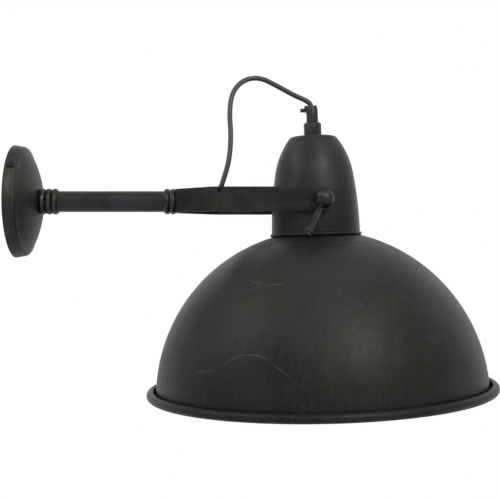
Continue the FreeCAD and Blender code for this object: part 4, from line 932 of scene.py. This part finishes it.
materials["bakelite"] = grainedMaterial(
    "bakelite", {"Coat Weight": 0.3, "Coat Roughness": 0.12}, (0.010, 0.009, 0.008),
    (0.022, 0.020, 0.018), 90, roughness=(0.22, 0.36), depth=0.00005)
materials["zincSteel"] = grainedMaterial(
    "zincSteel", {"Metallic": 1.0}, (0.42, 0.43, 0.44), (0.62, 0.62, 0.60), 160, roughness=(0.28, 0.42))
materials["aluminium"] = grainedMaterial(
    "aluminium", {"Metallic": 1.0}, (0.66, 0.67, 0.68), (0.8, 0.8, 0.8), 300, stretch=(1, 1, 8),
    roughness=(0.2, 0.34), depth=0.00004)
materials["brass"] = grainedMaterial(
    "brass", {"Metallic": 1.0}, (0.55, 0.38, 0.15), (0.72, 0.54, 0.26), 220, roughness=(0.25, 0.4))
materials["ceramic"] = grainedMaterial(
    "ceramic", {"Coat Weight": 0.4}, (0.70, 0.68, 0.62), (0.80, 0.78, 0.73), 60, roughness=(0.25, 0.4),
    depth=0.00005)
materials["terminalPlastic"] = grainedMaterial(
    "terminalPlastic", {}, (0.50, 0.50, 0.48), (0.62, 0.62, 0.60), 500, roughness=(0.4, 0.55), depth=0.00006)
materials["phosphor"] = grainedMaterial(
    "phosphor", {}, (0.62, 0.42, 0.10), (0.80, 0.60, 0.20), 900, roughness=(0.6, 0.75), depth=0.00008)
materials["bulbGlass"] = grainedMaterial(
    "bulbGlass", {"Transmission Weight": 1.0, "IOR": 1.45}, (0.96, 0.97, 0.97), (1.0, 1.0, 1.0), 18,
    roughness=(0.0, 0.02), depth=0.00002)
makeHolder()
makeBulbCap()
makeFilamentWires()
print("lampholder and bulb ready")

# Inside the rose: terminal block, its screws and the earth screw
terminals = {"edge": 0.5, "screwEdge": 0.08, "columns": (-0.009, 0.0, 0.009), "inset": 0.0014,
             "slot": (3.6, 0.5, 0.5), "earthEdge": 0.1, "earthPlace": (0.024, 0.024),
             "earthSlot": (8, 0.8, 0.6)}


def makeTerminals():
    block = softenedCopy("terminal_block", "terminalBlock", terminals["edge"])
    finished(block, "arm", "grey_terminal", materials["terminalPlastic"], "terminal_block")
    faces = Matrix.Rotation(math.radians(90), 4, "Y")
    screws = softenedCopy("terminal_screws", "terminalScrews", terminals["screwEdge"])
    low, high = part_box("terminal_screws")
    for y in terminals["columns"]:
        for z in (low[2] + terminals["inset"], high[2] - terminals["inset"]):
            cutSlot(screws, Matrix.Translation((high[0], y, z)) @ faces, *terminals["slot"])
    finished(screws, "arm", "zinc_steel", materials["zincSteel"], "terminal_screws")
    earth = softenedCopy("earth_screw", "earthScrew", terminals["earthEdge"])
    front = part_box("earth_screw")[1][0]
    cutSlot(earth, Matrix.Translation((front, *terminals["earthPlace"])) @ faces, *terminals["earthSlot"])
    finished(earth, "arm", "brass", materials["brass"], "earth_screw")


makeTerminals()

# Every node that is shown as the CAD made it
nodeFinish = {
    "wall_bracket": "zincSteel", "arm_tube": "tubeSteel", "arm_locknut": "zincSteel",
    "tube_bush": "zincSteel", "yoke_nipple": "zincSteel", "yoke_locknut": "fittingSteel",
    "shade_screws": "zincSteel", "shade_nuts": "zincSteel", "pivot_bosses": "fittingSteel",
    "friction_washers": "zincSteel", "head_nipple": "zincSteel", "head_washer": "zincSteel",
    "head_locknut": "zincSteel", "holder_floor": "ceramic", "holder_shell": "brass",
    "holder_contact": "brass", "bulb_tip": "zincSteel", "bulb_glass": "bulbGlass",
    "bulb_stem": "bulbGlass", "bulb_filaments": "phosphor", "lever_washer": "zincSteel",
    "lever_stud": "zincSteel", "arm_lead": "leadSheath", "holder_lead": "leadSheath",
}
for node, finish in nodeFinish.items():
    shown = cadNodes[node]
    shown.data.materials.clear()
    shown.data.materials.append(materials[finish])
for node, shown in cadNodes.items():
    if not shown.hide_render and node not in nodeFinish:
        print("no finish for", node)
print("materials set on %d nodes" % len(nodeFinish))

# Pale floor well below, white surroundings and two soft lamps
studio = {"floorPlace": (0.25, 0, -0.95), "floorRadius": 2.2, "floorGlow": 0.7, "ambient": 0.85,
          "floorTint": ((0.86, 0.86, 0.85, 1), (0.9, 0.9, 0.89, 1)), "aim": (0.3, 0, -0.08),
          "lamps": [("keyLamp", (0.95, -1.45, 1.05), 0.9, 16.0), ("sideLamp", (-0.9, -0.5, 0.9), 0.7, 6.0)]}


def seenRay(tree):
    # 1 for rays that the camera sees straight, in a reflection or through glass
    path = addNode(tree, "ShaderNodeLightPath")
    seen = math2(tree, "ADD", path.outputs["Is Camera Ray"], path.outputs["Is Glossy Ray"], True)
    return math2(tree, "ADD", seen, path.outputs["Is Transmission Ray"], True)


def makeStudio():
    pickOnly()
    bpy.ops.mesh.primitive_circle_add(vertices=96, radius=studio["floorRadius"], fill_type="NGON",
                                      location=studio["floorPlace"])
    floor = bpy.context.object
    floor.name = "floor"
    material, tree, shader, place = newMaterial("paleFloor", {"Roughness": 0.8})
    tint = noiseAt(tree, place, 3, 2)
    tree.links.new(mixColor(tree, tint, *studio["floorTint"]), shader.inputs["Base Color"])
    white = addNode(tree, "ShaderNodeEmission", None, {"Color": (1, 1, 1, 1), "Strength": 1.0})
    glow = math2(tree, "MULTIPLY", seenRay(tree), studio["floorGlow"])
    blend = addNode(tree, "ShaderNodeMixShader", None, None, {
        0: glow, 1: shader.outputs[0], 2: white.outputs[0]})
    tree.links.new(blend.outputs[0], tree.nodes["Material Output"].inputs["Surface"])
    floor.data.materials.append(material)
    world = bpy.data.worlds.new("studio")
    world.use_nodes = True
    bpy.context.scene.world = world
    tree = world.node_tree
    back = tree.nodes["Background"]
    back.inputs["Color"].default_value = (1, 1, 1, 1)
    strength = stepBetween(tree, seenRay(tree), 0.0, 1.0, studio["ambient"], 1.0)
    tree.links.new(strength, back.inputs["Strength"])
    for name, place, size, power in studio["lamps"]:
        lamp = bpy.data.objects.new(name, bpy.data.lights.new(name, "AREA"))
        bpy.context.collection.objects.link(lamp)
        lamp.location = place
        lamp.rotation_euler = (Vector(studio["aim"]) - Vector(place)).to_track_quat("-Z", "Y").to_euler()
        lamp.data.shape = "DISK"
        lamp.data.size = size
        lamp.data.energy = power


makeStudio()
print("studio ready")

bpy.context.scene.view_settings.view_transform = "Standard"
